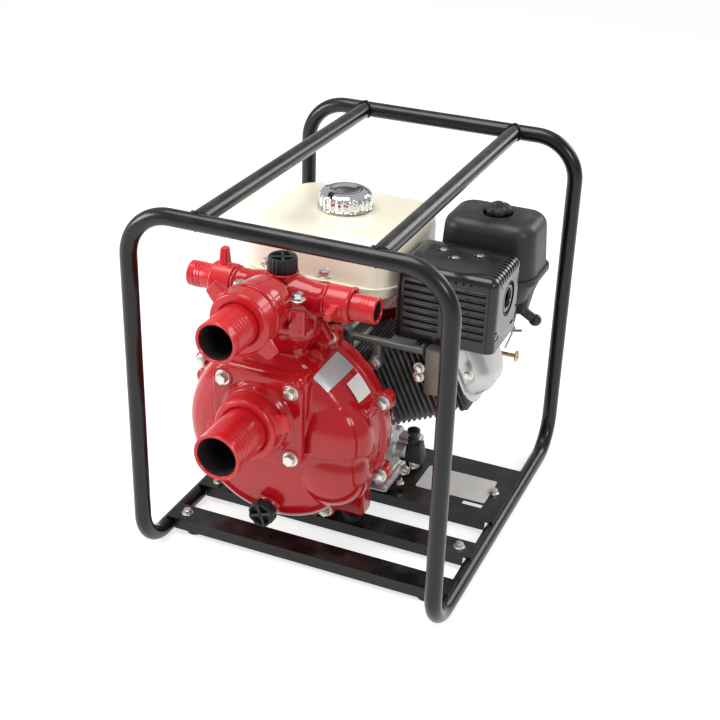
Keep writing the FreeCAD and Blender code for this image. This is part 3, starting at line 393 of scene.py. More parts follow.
def edge_mask():
    """Finds the outer edges of a piece, broken up by noise."""
    tree, given, out = new_group("Edge mask",
                                 [("Sharpness", "NodeSocketFloat", 0.53),
                                  ("Break Up", "NodeSocketFloat", 90.0)],
                                 [("Mask", "NodeSocketFloat")])
    place = new_node(tree, "ShaderNodeTexCoord").outputs["Object"]
    noise = new_node(tree, "ShaderNodeTexNoise",
                     {"Vector": place, "Scale": given.outputs["Break Up"], "Detail": 4.0})
    upper = new_node(tree, "ShaderNodeMath", {0: given.outputs["Sharpness"], 1: 0.06},
                     operation="ADD")
    edge = new_node(tree, "ShaderNodeMapRange",
                    {"Value": new_node(tree, "ShaderNodeNewGeometry").outputs["Pointiness"],
                     "From Min": given.outputs["Sharpness"], "From Max": upper.outputs["Value"]})
    broken = new_node(tree, "ShaderNodeMath",
                      {0: edge.outputs["Result"], 1: noise.outputs["Fac"]}, operation="MULTIPLY")
    tree.links.new(broken.outputs["Value"], out.inputs["Mask"])
    return tree


GROUPS = {}


def group_node(tree, name, inputs):
    if not GROUPS:
        GROUPS["relief"] = surface_relief()
        GROUPS["dust"] = light_dust()
        GROUPS["edge"] = edge_mask()
    node = tree.nodes.new("ShaderNodeGroup")
    node.node_tree = GROUPS[name]
    for key, value in inputs.items():
        if isinstance(value, bpy.types.NodeSocket):
            tree.links.new(value, node.inputs[key])
        else:
            node.inputs[key].default_value = value
    return node


def overlaid(tree, factor, under, over):
    """Lays one colour over another by a share."""
    node = new_node(tree, "ShaderNodeMix", data_type="RGBA")
    tree.links.new(factor, node.inputs["Factor"])
    tree.links.new(under, node.inputs["A"])
    node.inputs["B"].default_value = over
    return node.outputs["Result"]


def surface(name, colour, roughness, metallic=0.0, coat=0.0, spread=0.08, dust=0.1,
            dust_colour=(0.55, 0.53, 0.5, 1), grain=900.0, wave=45.0, wave_share=0.5,
            depth=0.1, reach=0.0002, specular=0.5, wear_and_edge_highlight=None, wear_and_edge_highlight_share=0.0, second=None,
            second_scale=60.0):
    """A finish: colour with dust, a lighter colour on sharp edges (a painted highlight on the red
    casting, bare-metal wear on the engine's fins), broken gloss and a fine relief.
    """
    material = bpy.data.materials.new(name)
    material.use_nodes = True
    tree = material.node_tree
    shader = tree.nodes["Principled BSDF"]
    base = new_node(tree, "ShaderNodeRGB")
    base.outputs[0].default_value = colour
    painted = base.outputs[0]
    if second:
        place = new_node(tree, "ShaderNodeTexCoord").outputs["Object"]
        cloud = new_node(tree, "ShaderNodeTexNoise",
                         {"Vector": place, "Scale": second_scale, "Detail": 4.0})
        painted = overlaid(tree, cloud.outputs["Fac"], painted, second)
    # Lighter colour on sharp convex edges: a painted highlight on the red casting, real wear on
    # the engine's fin edges.
    if wear_and_edge_highlight:
        mask = group_node(tree, "edge", {})
        share = new_node(tree, "ShaderNodeMath", {0: mask.outputs["Mask"], 1: wear_and_edge_highlight_share},
                         operation="MULTIPLY")
        painted = overlaid(tree, share.outputs["Value"], painted, wear_and_edge_highlight)
    dusty = group_node(tree, "dust", {"Colour": painted, "Dust Colour": dust_colour,
                                      "Amount": dust, "Roughness": roughness, "Spread": spread})
    relief = group_node(tree, "relief", {"Grain Size": grain, "Wave Size": wave,
                                         "Wave Share": wave_share})
    bump = new_node(tree, "ShaderNodeBump",
                    {"Height": relief.outputs["Height"], "Strength": depth, "Distance": reach})
    tree.links.new(dusty.outputs["Colour"], shader.inputs["Base Color"])
    tree.links.new(dusty.outputs["Roughness"], shader.inputs["Roughness"])
    tree.links.new(bump.outputs["Normal"], shader.inputs["Normal"])
    shader.inputs["Metallic"].default_value = metallic
    shader.inputs["Specular IOR Level"].default_value = specular
    shader.inputs["Coat Weight"].default_value = coat
    shader.inputs["Coat Roughness"].default_value = 0.06
    return material


MATERIALS = {}


def finish(name):
    """The material of this name, made when it is first asked for."""
    if name not in MATERIALS:
        MATERIALS[name] = make_finish(name)
    return MATERIALS[name]


FINISHES = {
    "frame_black": ("Frame gloss black", "frame_black", 0.2,
        dict(coat=0.12, spread=0.1, specular=0.35, dust=0.08, grain=1500.0, wave=60.0,
             wave_share=0.75, depth=0.12)),
    "rubber_black": ("Moulded rubber", "rubber_black", 0.62,
        dict(dust=0.5, depth=0.4)),
    # The pale edge colour of the casting red is a painted highlight on its sharp edges.
    "pump_red": ("Casting red enamel", "pump_red", 0.12,
        dict(coat=0.4, spread=0.08, specular=0.35, dust=0.04, grain=420.0, wave=75.0,
             wave_share=0.55, depth=0.28, wear_and_edge_highlight=shade(232, 120, 110), wear_and_edge_highlight_share=0.12)),
    "coupling_red": ("Coupling red plastic", "coupling_red", 0.22,
        dict(coat=0.15, dust=0.04, grain=1100.0, wave=120.0, wave_share=0.4, depth=0.12)),
    "plastic_black": ("Satin black plastic", "plastic_black", 0.34,
        dict(spread=0.12, specular=0.4, dust=0.12, grain=2400.0, wave=70.0, wave_share=0.2,
             depth=0.3)),
    "cast_aluminium": ("Cast aluminium", "aluminium", 0.36,
        dict(metallic=0.9, spread=0.22, dust=0.15, grain=1400.0, wave=160.0, wave_share=0.4,
             depth=0.55, second=shade(170, 169, 166), second_scale=90.0)),
    # The grey edge colour of the engine black is wear on the fin edges.
    "engine_black": ("Engine black paint", "engine_black", 0.34,
        dict(dust=0.2, specular=0.35, spread=0.18, grain=1300.0, wave=150.0, wave_share=0.4,
             depth=0.5, wear_and_edge_highlight=shade(150, 150, 148), wear_and_edge_highlight_share=0.55)),
    "muffler_steel": ("Muffler steel", shade(96, 92, 88), 0.4,
        dict(metallic=1.0, spread=0.25, dust=0.1, second=shade(70, 62, 55), depth=0.3)),
    "guard_black": ("Guard gloss black", "guard_black", 0.14,
        dict(coat=0.2, specular=0.4, spread=0.08, dust=0.06, grain=1200.0, wave=50.0,
             wave_share=0.8, depth=0.1)),
    "bracket_steel": ("Bracket steel", shade(128, 124, 116), 0.38,
        dict(metallic=0.85, spread=0.2, dust=0.2, second=shade(98, 90, 80), depth=0.35)),
    "tank_cream": ("Tank cream enamel", "tank_cream", 0.2,
        dict(coat=0.35, dust=0.05, grain=700.0, wave=40.0, wave_share=0.8, depth=0.12)),
    "cap_chrome": ("Bright chrome", shade(226, 227, 229), 0.06,
        dict(metallic=1.0, spread=0.05, dust=0.03, grain=900.0, wave=60.0, wave_share=0.7,
             depth=0.05)),
    "fan_red": ("Fan cover red", "fan_red", 0.22,
        dict(coat=0.3, dust=0.1, depth=0.2)),
    "bolt_zinc": ("Zinc plated steel", "bolt_zinc", 0.2,
        dict(metallic=1.0, spread=0.2, dust=0.04, grain=2600.0, depth=0.2)),
    "cast_dark": ("Dark cast aluminium", shade(98, 102, 99), 0.42,
        dict(metallic=0.6, spread=0.2, dust=0.2, grain=1400.0, wave=160.0, wave_share=0.4,
             depth=0.5)),
    "lid_silver": ("Bright lid", shade(186, 186, 184), 0.2,
        dict(metallic=0.92, spread=0.1, dust=0.05, grain=900.0, wave=70.0, wave_share=0.8,
             depth=0.15)),
    "brass": ("Brass fitting", shade(206, 182, 140), 0.28,
        dict(metallic=1.0, depth=0.2)),
    "plate_silver": ("Bare foil plate", shade(206, 206, 208), 0.34,
        dict(metallic=0.55, spread=0.1, dust=0.05, grain=1800.0, wave=30.0, depth=0.2)),
    "plate_white": ("Bare white plate", shade(238, 238, 234), 0.3,
        dict(dust=0.06, depth=0.15)),
    # A near-black colour for the inside of the hose tails: painted shade.
    "painted_bore_shade": ("Shaded bore", shade(24, 13, 17), 0.7,
        dict(dust=0.05, depth=0.2)),
}


def make_finish(name):
    """Makes a finish of the table; a colour given by name comes from the settings."""
    label, colour, roughness, more = FINISHES[name]
    if isinstance(colour, str):
        colour = tuple(getattr(bpy.context.scene.pump_colours, colour))
    return surface(label, colour, roughness, **more)


def dress(obj, name, body=ROOT, stands_for=()):
    """Gives a new piece its finish, its body and the nodes that it stands for."""
    obj.data.materials.clear()
    obj.data.materials.append(finish(name))
    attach(obj, body)
    if stands_for:
        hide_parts(*stands_for)
    return obj


# Settings that a user would change


class PumpColours(bpy.types.PropertyGroup):
    pass


class PumpSizes(bpy.types.PropertyGroup):
    pass


def colour_setting(label, description, default):
    return bpy.props.FloatVectorProperty(name=label, description=description, default=default,
                                         size=4, min=0.0, max=1.0, subtype="COLOR")


def length_setting(label, description, default):
    return bpy.props.FloatProperty(name=label, description=description, default=default * MM,
                                   min=0.0, unit="LENGTH")


PumpColours.__annotations__ = {
    "pump_red": colour_setting("Casting red", "Enamel of the pump castings",
                               shade(186, 16, 26)),
    "coupling_red": colour_setting("Coupling red", "Plastic of the nuts and hose tails",
                                   shade(204, 30, 38)),
    "frame_black": colour_setting("Frame black", "Gloss coat of the tube frame",
                                  shade(12, 12, 13)),
    "rubber_black": colour_setting("Rubber", "Feet and mounts", shade(24, 24, 24)),
    "plastic_black": colour_setting("Black plastic", "Air cleaner, caps and knobs",
                                    shade(32, 34, 37)),
    "guard_black": colour_setting("Guard black", "Gloss coat of the muffler guard",
                                  shade(24, 24, 26)),
    "engine_black": colour_setting("Engine black", "Painted fins of the engine",
                                   shade(26, 28, 31)),
    "aluminium": colour_setting("Aluminium", "Bare castings of the engine", shade(196, 196, 196)),
    "tank_cream": colour_setting("Tank cream", "Enamel of the fuel tank", shade(238, 230, 208)),
    "fan_red": colour_setting("Fan red", "Fan cover of the engine", shade(150, 16, 26)),
    "bolt_zinc": colour_setting("Zinc", "Bolt heads and washers", shade(214, 212, 206)),
}

PumpSizes.__annotations__ = {
    "casting_skin": length_setting("Casting skin", "Fineness of the red castings", 1.7),
    "weld_bead": length_setting("Weld bead", "Radius of the weld beads on the frame", 1.7),
    "bolt_across": length_setting("Bolt width", "Across the flats of the pump's bolts", 12.0),
    "bolt_height": length_setting("Bolt height", "Height of the pump's bolt heads", 6.0),
    "plate_thick": length_setting("Plate", "Thickness of the bare plates", 0.5),
}


def sizes():
    return bpy.context.scene.pump_sizes


# Tube frame


class PUMP_OT_frame(bpy.types.Operator):
    """Finish the tube frame and its rubber parts, and add its weld beads and bolts"""

    bl_idname = "pump.frame"
    bl_label = "Frame"

    def execute(self, context):
        cad_finish("frame_black", "front_hoop", "rear_hoop", "top_bar_left", "top_bar_right",
                   "front_crossmember", "mid_crossmember", "engine_base_plate")
        cad_finish("rubber_black", "rubber_feet", "engine_mounts", "pump_mounts")
        dress(weld_beads(), "frame_black")
        dress(frame_bolts(), "bolt_zinc")
        return {"FINISHED"}


def cad_finish(name, *nodes):
    """Gives nodes of the frame a finish and leaves their meshes alone."""
    for node in nodes:
        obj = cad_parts[node]
        obj.data.materials.clear()
        obj.data.materials.append(finish(name))


def weld_beads():
    """Beads where the two top bars meet the hoops: a saddle line round each bar."""
    beads = []
    tube = TUBE / 2
    for bar_node in ("top_bar_left", "top_bar_right"):
        centre = middle(bar_node)
        for plane, inward in ((HOOP_PLANE, 1), (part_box("rear_hoop")[1].y - tube, -1)):
            bpy.ops.object.select_all(action="DESELECT")
            bpy.ops.mesh.primitive_torus_add(
                major_radius=tube + 0.0004, minor_radius=sizes().weld_bead,
                major_segments=72, minor_segments=10,
                location=(centre.x, plane, centre.z), rotation=(math.pi / 2, 0, 0))
            bead = settled("weld_bead")
            for vertex in bead.data.vertices:
                across = vertex.co.x - centre.x
                ripple = 0.00035 * math.sin(26 * math.atan2(vertex.co.z - centre.z, across))
                vertex.co.y += inward * (abs(across) * 0.96 + 0.0006 + ripple)
            beads.append(bead)
    return smooth(joined("frame_weld_beads", beads))


def frame_bolts():
    """The bolts that hold the cross members and the base plate down on the rails."""
    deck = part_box("front_crossmember")[1].z
    places = []
    for node in ("front_crossmember", "mid_crossmember", "engine_base_plate"):
        low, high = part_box(node)
        for x in (low.x + 0.020, high.x - 0.020):
            places.append((Vector((x, (low.y + high.y) / 2, deck)), UP))
    pattern = hex_bolt(9.0, 4.5, 7.0, 1.2)
    return copies("frame_bolts", pattern, places)


# Pump castings


RIM_FRONT = 134.0
RIM_BACK = 146.0
ADAPTER_BACK = 162.0
BOLT_CIRCLE = 126.0
LUG_RADIUS = 11.5
FLANGE_BOLT = 42.0
MANIFOLD_BOLT = 35.0
MANIFOLD_BOLT_HEIGHT = 333.0
LUG_ANGLES = [22.5 + 45 * number for number in range(8)]
CENTRE = CRANK.x / MM
AXLE = CRANK.z / MM
SUCTION = middle("suction_flange")
MANIFOLD = middle("priming_cap")
BOWL_PROFILE = [(117, 0), (115.5, 12), (113, 26), (110.5, 38), (108, 47), (104, 53), (97, 58),
                (86, 62), (70, 65), (44, 68), (12, 70)]


class PUMP_OT_casing(bpy.types.Operator):
    """Model the pump casing with its volute lobes, lugs, ribs and feet"""

    bl_idname = "pump.casing"
    bl_label = "Casing"

    def execute(self, context):
        dress(pump_casing(), "pump_red", stands_for=["pump_casing"])
        dress(adapter_plate(), "pump_red", stands_for=["pump_adapter"])
        dress(casing_bolts(), "bolt_zinc")
        dress(side_plate("casing_plate_long", 53.5, 25.0, 80, 130), "plate_silver")
        dress(side_plate("casing_plate_short", 36.8, 26.0, 105, 130), "plate_white")
        return {"FINISHED"}


def rounded_slab(name, low, high, radius, segments=4):
    obj = slab(name, low, high)
    return modify(obj, "BEVEL", width=radius * MM, segments=segments, limit_method="ANGLE")


def lobe(name, place, radii, cut_angle):
    """A swelling of the volute that ends in a step along a line from the crank."""
    obj = ball(name, place, radii, 64)
    angle = math.radians(cut_angle)
    return edit(obj, "vertices", everything, cut_away, place=CRANK,
                normal=(-math.sin(angle), 0, math.cos(angle)))


def cut_away(place, normal):
    """Cuts what is selected along a plane and keeps the side that the normal points to."""
    bpy.ops.mesh.select_all(action="SELECT")
    bpy.ops.mesh.bisect(plane_co=place, plane_no=normal, use_fill=True, clear_inner=True)


def pump_casing():
    pieces = [
        turned("casing_bowl", at(CENTRE, RIM_FRONT, AXLE), FRONT, BOWL_PROFILE, 128),
        bar("casing_rim", at(CENTRE, RIM_FRONT - 1, AXLE), REAR, 122,
            RIM_BACK - RIM_FRONT + 1, 128),
        lobe("casing_upper_lobe", at(8, 97, 160), (58, 37, 58), 1),
        ball("casing_lower_lobe", at(13, 98, 116), (49, 34, 46), 64),
        rounded_slab("casing_trunk", at(CENTRE - 33, 86, 205), at(CENTRE + 33, RIM_BACK, 294), 15),
        rounded_slab("casing_seat", at(CENTRE - 44, 67, 289), at(CENTRE + 44, 155, 300), 4),
        rounded_slab("casing_suction_pad", at(CENTRE - 54, 57, 138), at(CENTRE + 54, 105, 246),
                     10),
        bar("casing_drain", at(CENTRE, 66, AXLE - 91), REAR, 14, 40),
    ]
    for angle in LUG_ANGLES:
        pieces.append(bar("casing_lug", about_crank(BOLT_CIRCLE, angle, RIM_FRONT - 2), REAR,
                          LUG_RADIUS, RIM_BACK - RIM_FRONT + 2))
        pieces.append(bar("casing_lug_root", about_crank(110, angle, 106), REAR, 10, 30))
    for x in (-22, 22):
        pieces.append(rounded_slab("casing_rib", at(CENTRE + x - 4, 96, 225),
                                   at(CENTRE + x + 4, RIM_BACK, 292), 2, 1))
    for sign in (-1, 1):
        pieces.append(casing_buttress(sign))
        pieces.append(casing_foot(sign))
    return cast_together("casing_body", pieces, sizes().casting_skin, 5)


def casing_buttress(sign):
    """A web that carries the trunk's side down to the next lug."""
    foot = about_crank(BOLT_CIRCLE - 4, 90 - sign * 22.5, 122)
    top = at(CENTRE + sign * 30, 122, 290)
    along = foot - top
    web = slab("casing_web", Vector((-0.005, -0.014, 0)), Vector((0.005, 0.014, along.length)))
    return placed(web, top, along.to_track_quat("Z", "Y").to_matrix().to_4x4())


def casing_foot(sign):
    """A foot that widens downwards, on its rubber mount."""
    middle_x = CENTRE + sign * 73.5
    foot = slab("casing_foot", at(middle_x - 21, 137, 30.3), at(middle_x + 21, 164, 98))
    shrink_end(foot, UP, 0.94)
    return modify(foot, "BEVEL", width=3 * MM, segments=2, limit_method="ANGLE")


def shrink_end(obj, toward, factor):
    """Narrows the end of a block that faces this way, about its own middle."""
    toward = Vector(toward)
    far = max(vertex.co.dot(toward) for vertex in obj.data.vertices)
    return edit(obj, "polygons", lambda face: face.center.dot(toward) > far - 1e-6,
                bpy.ops.transform.resize, value=(factor, factor, factor))


def adapter_plate():
    """The plate behind the casing, with a boss behind each lug."""
    plate = turned("adapter_body", at(CENTRE, RIM_BACK + 0.4, AXLE), REAR,
                   [(118.5, 0), (119.5, 1.5), (119.5, 9), (117, 12),
                    (104, ADAPTER_BACK - RIM_BACK), (70, ADAPTER_BACK - RIM_BACK)], 128)
    pieces = [plate]
    for angle in LUG_ANGLES:
        boss = bar("adapter_boss", about_crank(BOLT_CIRCLE - 1, angle, RIM_BACK + 0.4), REAR,
                   LUG_RADIUS - 3, 8)
        pieces.append(modify(boss, "BEVEL", width=1.2 * MM, segments=2, limit_method="ANGLE"))
    return smooth(joined("adapter_body", pieces), 40)


def casing_bolts():
    """The bolts of the casing, the suction flange and the outlet manifold."""
    places = [(about_crank(BOLT_CIRCLE, angle, RIM_FRONT - 2), FRONT) for angle in LUG_ANGLES]
    plate_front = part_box("suction_flange")[1].y - 10 * MM
    for x in (-1, 1):
        for other in (-1, 1):
            aside, above = x * FLANGE_BOLT * MM, other * FLANGE_BOLT * MM
            places.append((Vector((SUCTION.x + aside, plate_front, SUCTION.z + above)), FRONT))
        for other in (-1, 1):
            aside, behind = x * MANIFOLD_BOLT * MM, other * MANIFOLD_BOLT * MM
            places.append((Vector((MANIFOLD.x + aside, MANIFOLD.y + behind,
                                   MANIFOLD_BOLT_HEIGHT * MM)), UP))
    pattern = hex_bolt(sizes().bolt_across / MM, sizes().bolt_height / MM, 9.2, 1.6)
    return copies("casing_bolts", pattern, places)


def side_plate(name, angle, width, front, rear):
    """A thin bare plate that follows the bowl's side wall."""
    steps = 16
    half = math.degrees(width / 2 / 114)
    bpy.ops.object.select_all(action="DESELECT")
    bpy.ops.mesh.primitive_grid_add(x_subdivisions=steps, y_subdivisions=steps, size=1)
    obj = settled(name)
    for vertex in obj.data.vertices:
        back = front + (vertex.co.y + 0.5) * (rear - front)
        turn = math.radians(angle - half + 2 * half * (vertex.co.x + 0.5))
        radius = bowl_radius(back) + 1.6
        vertex.co = Vector((CRANK.x + radius * MM * math.cos(turn), HOOP_PLANE + back * MM,
                            CRANK.z + radius * MM * math.sin(turn)))
    modify(obj, "SOLIDIFY", thickness=sizes().plate_thick, offset=0)
    edit(obj, "polygons", everything, bpy.ops.mesh.normals_make_consistent, inside=False)
    return smooth(obj, 40)


def bowl_radius(back):
    """The bowl's radius this far behind the front hoop."""
    depth = RIM_FRONT - back
    for (radius, near), (next_radius, far) in zip(BOWL_PROFILE, BOWL_PROFILE[1:]):
        if depth <= far:
            return radius + (next_radius - radius) * (depth - near) / (far - near)
    return BOWL_PROFILE[-1][0]


class PUMP_OT_suction(bpy.types.Operator):
    """Model the suction flange with its raised neck"""

    bl_idname = "pump.suction"
    bl_label = "Suction flange"

    def execute(self, context):
        low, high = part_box("suction_flange")
        centre = Vector((SUCTION.x, high.y, SUCTION.z))
        plate = slab("suction_plate", Vector((low.x, high.y - 10 * MM, low.z)), high)
        edit(plate, "edges", runs_along(plate, REAR), bpy.ops.mesh.bevel, offset=0.015, segments=8)
        soften(plate, 1.8, 3, 50)
        neck = turned("suction_neck", centre, FRONT,
                      [(47, 7), (46, 10.4), (43, 12), (41, 14.5), (39.5, 17.5), (38.5, 18.5),
                       (32, 18.5), (32, 30), (24.3, 30), (24.3, 0), (47, 7)], 96, True)
        smooth(neck, 50)
        pieces = [plate, neck]
        for x in (-FLANGE_BOLT, FLANGE_BOLT):
            for z in (-FLANGE_BOLT, FLANGE_BOLT):
                place = centre + Vector((x * MM, -10 * MM, z * MM))
                pieces.append(smooth(turned("suction_spotface", place, FRONT,
                                            [(12, -2), (12, 0.6), (11, 1.2), (2, 1.2)], 40)))
        piece = joined("suction_flange_body", pieces)
        dress(piece, "pump_red", stands_for=["suction_flange"])
        return {"FINISHED"}


class PUMP_OT_manifold(bpy.types.Operator):
    """Model the outlet manifold with its three necks"""

    bl_idname = "pump.manifold"
    bl_label = "Outlet manifold"

    def execute(self, context):
        dress(outlet_manifold(), "pump_red", stands_for=["discharge_manifold"])
        return {"FINISHED"}


OUTLET_PLANE = 27.5
PRIME_TOP = 347.0
SIDE_REACH = 57.5


def outlet_manifold():
    x, y = MANIFOLD.x, MANIFOLD.y
    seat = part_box("discharge_manifold")[0].z
    axis = Vector((x, y, seat))
    base = slab("manifold_base", axis + Vector(mm(-44, -44, 0)), axis + Vector(mm(44, 44, 12)))
    modify(base, "BEVEL", width=3.5 * MM, segments=2, limit_method="ANGLE")
    hood = slab("manifold_hood", axis + Vector(mm(-39, -39, 6)), axis + Vector(mm(39, 39, 43)))
    shrink_end(hood, UP, 0.5)
    modify(hood, "BEVEL", width=7 * MM, segments=3, limit_method="ANGLE")
    dome = edit(ball("manifold_core", axis + Vector(mm(2, 4, 3)), (45, 45, 48)), "vertices",
                everything, cut_away, place=at(0, 0, PRIME_TOP - 0.4), normal=(0, 0, -1))
    pieces = [base, hood, dome]
    pieces.append(bar("manifold_prime", axis, UP, 18.5, PRIME_TOP - seat / MM))
    outlet = middle("discharge_tail").z
    front = Vector((x, HOOP_PLANE + OUTLET_PLANE * MM, outlet))
    pieces.append(turned("manifold_outlet", front, REAR,
                         [(36, 0), (36, 7), (33.5, 10), (33, 24), (30, 46)], 80))
    side_height = middle("left_tail").z
    for toward in (LEFT, RIGHT):
        end = Vector((x, y, side_height)) + toward * SIDE_REACH * MM
        pieces.append(turned("manifold_side", end, -toward,
                             [(20, 0), (20, 3), (18, 4.5), (18, 18), (23, 44)], 64))
    for across in (-MANIFOLD_BOLT, MANIFOLD_BOLT):
        for along in (-MANIFOLD_BOLT, MANIFOLD_BOLT):
            pieces.append(bar("manifold_boss", axis + Vector(mm(across, along, 0)), UP, 10, 33))
    body = cast_together("manifold_body", pieces, sizes().casting_skin * 0.75, 4)
    threads = [turned("manifold_thread", front, FRONT,
                      [(30, -6), (30, 15.5), (21, 15.5), (21, -60), (30, -6)], 64, True)]
    for toward in (LEFT, RIGHT):
        end = Vector((x, y, side_height)) + toward * SIDE_REACH * MM
        threads.append(turned("manifold_thread", end, toward,
                              [(17, -5), (17, 21), (12, 21), (12, -20), (17, -5)], 48, True))
    for thread in threads:
        smooth(thread)
    return joined("manifold_body", [body, *threads])


# Hose couplings: a winged nut and a barbed tail at each port


COUPLINGS = (
    ("suction", "suction_nut", "suction_tail", FRONT, 18.0, 37.0, 27.5, 23.4, 52.0),
    ("outlet", "discharge_nut", "discharge_tail", FRONT, 138.0, 35.0, 23.7, 20.0, 50.0),
    ("left", "left_nut", "left_tail", LEFT, 90.0, 20.5, 15.0, 11.5, 40.0),
    ("right", "right_nut", "right_tail", RIGHT, 0.0, 20.5, 15.0, 11.5, 40.0),
)
BARB_STEP = 6.2


class PUMP_OT_couplings(bpy.types.Operator):
    """Model the four winged nuts and their barbed hose tails"""

    bl_idname = "pump.couplings"
    bl_label = "Hose couplings"

    def execute(self, context):
        for port, nut_node, tail_node, toward, wings, nut, tail, bore, reach in COUPLINGS:
            ring = winged_nut(port, nut_node, toward, wings, nut, tail, reach)
            dress(ring, "coupling_red", nut_node + "_body", [nut_node])
            hose = hose_tail(port, tail_node, toward, tail, bore)
            dress(hose, "coupling_red", ROOT, [tail_node])
            # A dark wall and floor in each bore: painted shade.
            bore_shade = painted_shade_in_bore(port, tail_node, toward, bore)
            dress(bore_shade, "painted_bore_shade")
        return {"FINISHED"}


def inner_end(node, toward):
    """The middle of a node's end that faces the pump, and the node's length."""
    low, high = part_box(node)
    centre = (low + high) / 2
    length = abs((high - low).dot(toward))
    return centre - toward * length / 2, length / MM


def winged_nut(port, node, toward, wing_turn, radius, tail, reach):
    start, length = inner_end(node, toward)
    axis = middle(node.replace("nut", "tail"))
    start = Vector(tuple(start[k] if abs(toward[k]) > 0.5 else axis[k] for k in range(3)))
    ring = turned("nut_ring", start, toward,
                  [(radius - 4, 0), (radius - 0.6, 0), (radius, 0.8), (radius, length - 2.5),
                   (radius - 2, length), (tail + 2.5, length), (tail + 0.8, length - 1),
                   (tail + 0.8, length - 3.2), (radius - 4, length - 3.2), (radius - 4, 0)],
                  96, True)
    pieces = [ring]
    thick = 0.4 * length
    half_width = 0.34 * radius
    for half_turn in (0, 180):
        wing = slab("nut_wing", Vector(mm(radius - 5, -half_width, (length - thick) / 2)),
                    Vector(mm(reach, half_width, (length + thick) / 2)))
        shrink_end(wing, RIGHT, 0.7)
        modify(wing, "BEVEL", width=1.6 * MM, segments=2, limit_method="ANGLE")
        pieces.append(placed(wing, start, nut_turn(toward, wing_turn + half_turn)))
    return cast_together(port + "_nut_body", pieces, (0.9 if radius > 30 else 0.7) * MM, 2)


def nut_turn(toward, degrees):
    """The turn that lays Z along the port and X along the wing, as the part has it."""
    across = {FRONT[:]: RIGHT, LEFT[:]: FRONT, RIGHT[:]: REAR}[toward[:]]
    up = toward.cross(across)
    basis = Matrix((across, up, toward)).transposed().to_4x4()
    return basis @ Matrix.Rotation(math.radians(degrees), 4, "Z")


def hose_tail(port, node, toward, radius, bore):
    start, length = inner_end(node, toward)
    rings = 5 if radius > 20 else 3
    step = BARB_STEP * min(1, length / 60)
    profile = [(bore, 0), (radius + 2, 0), (radius + 2, 3), (radius, 4.5)]
    for number in range(rings):
        foot = length - 8 - step * (rings - 1 - number)
        profile += [(radius - 0.1, foot - step * 0.8), (radius - 0.6, foot - step * 0.35),
                    (radius, foot - 0.5), (radius, foot)]
    profile += [(radius - 0.1, length - 0.9), (radius - 0.8, length), (bore + 0.6, length),
                (bore, length - 0.8), (bore, 0)]
    return smooth(turned(port + "_tail_body", start, toward, profile, 96, True), 25)


def painted_shade_in_bore(port, node, toward, bore):
    """Painted shade: a dark wall and floor deep inside a hose tail, standing for the shade in its
    red bore.
    """
    start, length = inner_end(node, toward)
    return smooth(turned(port + "_bore_lining", start, toward,
                         [(bore - 0.1, length - 2), (bore - 0.1, 5), (0.05, 5), (0.05, 6),
                          (bore - 0.8, 6), (bore - 0.8, length - 2), (bore - 0.1, length - 2)],
                         64, True))


# Plugs, caps and knobs


class PUMP_OT_plugs(bpy.types.Operator):
    """Model the priming cap and the drain knob"""

    bl_idname = "pump.plugs"
    bl_label = "Priming cap and drain knob"

    def execute(self, context):
        for node, toward, radius, height, grips in (("priming_cap", UP, 17.0, 17.0, 20),
                                                    ("drain_knob", FRONT, 16.5, 13.5, 8)):
            piece = ribbed_plug(node, toward, radius, height, grips)
            dress(piece, "plastic_black", node + "_body", [node])
        return {"FINISHED"}


def ribbed_plug(node, toward, radius, height, grips):
    """A plug with a grip round its rim and a cross of ribs in its dished face."""
    low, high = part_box(node)
    axis = (low + high) / 2
    tip = axis + toward * abs((high - low).dot(toward)) / 2
    start = tip - toward * height * MM
    body = turned("plug_body", start, toward,
                  [(radius - 6, 0), (radius - 0.6, 0.4), (radius, 2), (radius - 0.4, height - 2),
                   (radius - 1.4, height), (radius - 3.4, height), (radius - 4, height - 1),
                   (radius - 4.4, height - 6), (2, height - 6)], grips * 8)
    for vertex in body.data.vertices:
        out = vertex.co - axis
        out -= toward * out.dot(toward)
        if out.length > (radius - 2.4) * MM:
            turn = math.atan2(out.dot(toward.cross(Vector((0.3, 0.5, 0.8)))),
                              out.dot(Vector((0.3, 0.5, 0.8))))
            dip = 0.5 - 0.5 * math.cos(grips * turn)
            vertex.co -= out * (0.05 if grips > 10 else 0.085) * dip ** 2
    smooth(body, 50)
    pieces = [body]
    basis = nut_turn(toward, 20) if toward != UP else Matrix.Rotation(math.radians(28), 4, "Z")
    for half_length, half_width in ((radius - 3.6, 1.7), (1.7, radius - 3.6)):
        rib = slab("plug_rib", Vector(mm(-half_length, -half_width, height - 7)),
                   Vector(mm(half_length, half_width, height - 0.4)))
        modify(rib, "BEVEL", width=0.5 * MM, segments=1, limit_method="ANGLE")
        pieces.append(placed(rib, start, basis))
    return joined(node + "_moulding", pieces)


# Fuel tank and cap


class PUMP_OT_tank(bpy.types.Operator):
    """Model the fuel tank with its seam, and the chrome cap"""

    bl_idname = "pump.tank"
    bl_label = "Fuel tank"

    def execute(self, context):
        dress(fuel_tank(), "tank_cream", stands_for=["fuel_tank"])
        dress(fuel_cap(), "cap_chrome", "fuel_cap_body", ["fuel_cap"])
        return {"FINISHED"}


TANK_SEAM = 17.0
TANK_LIP = 4.0


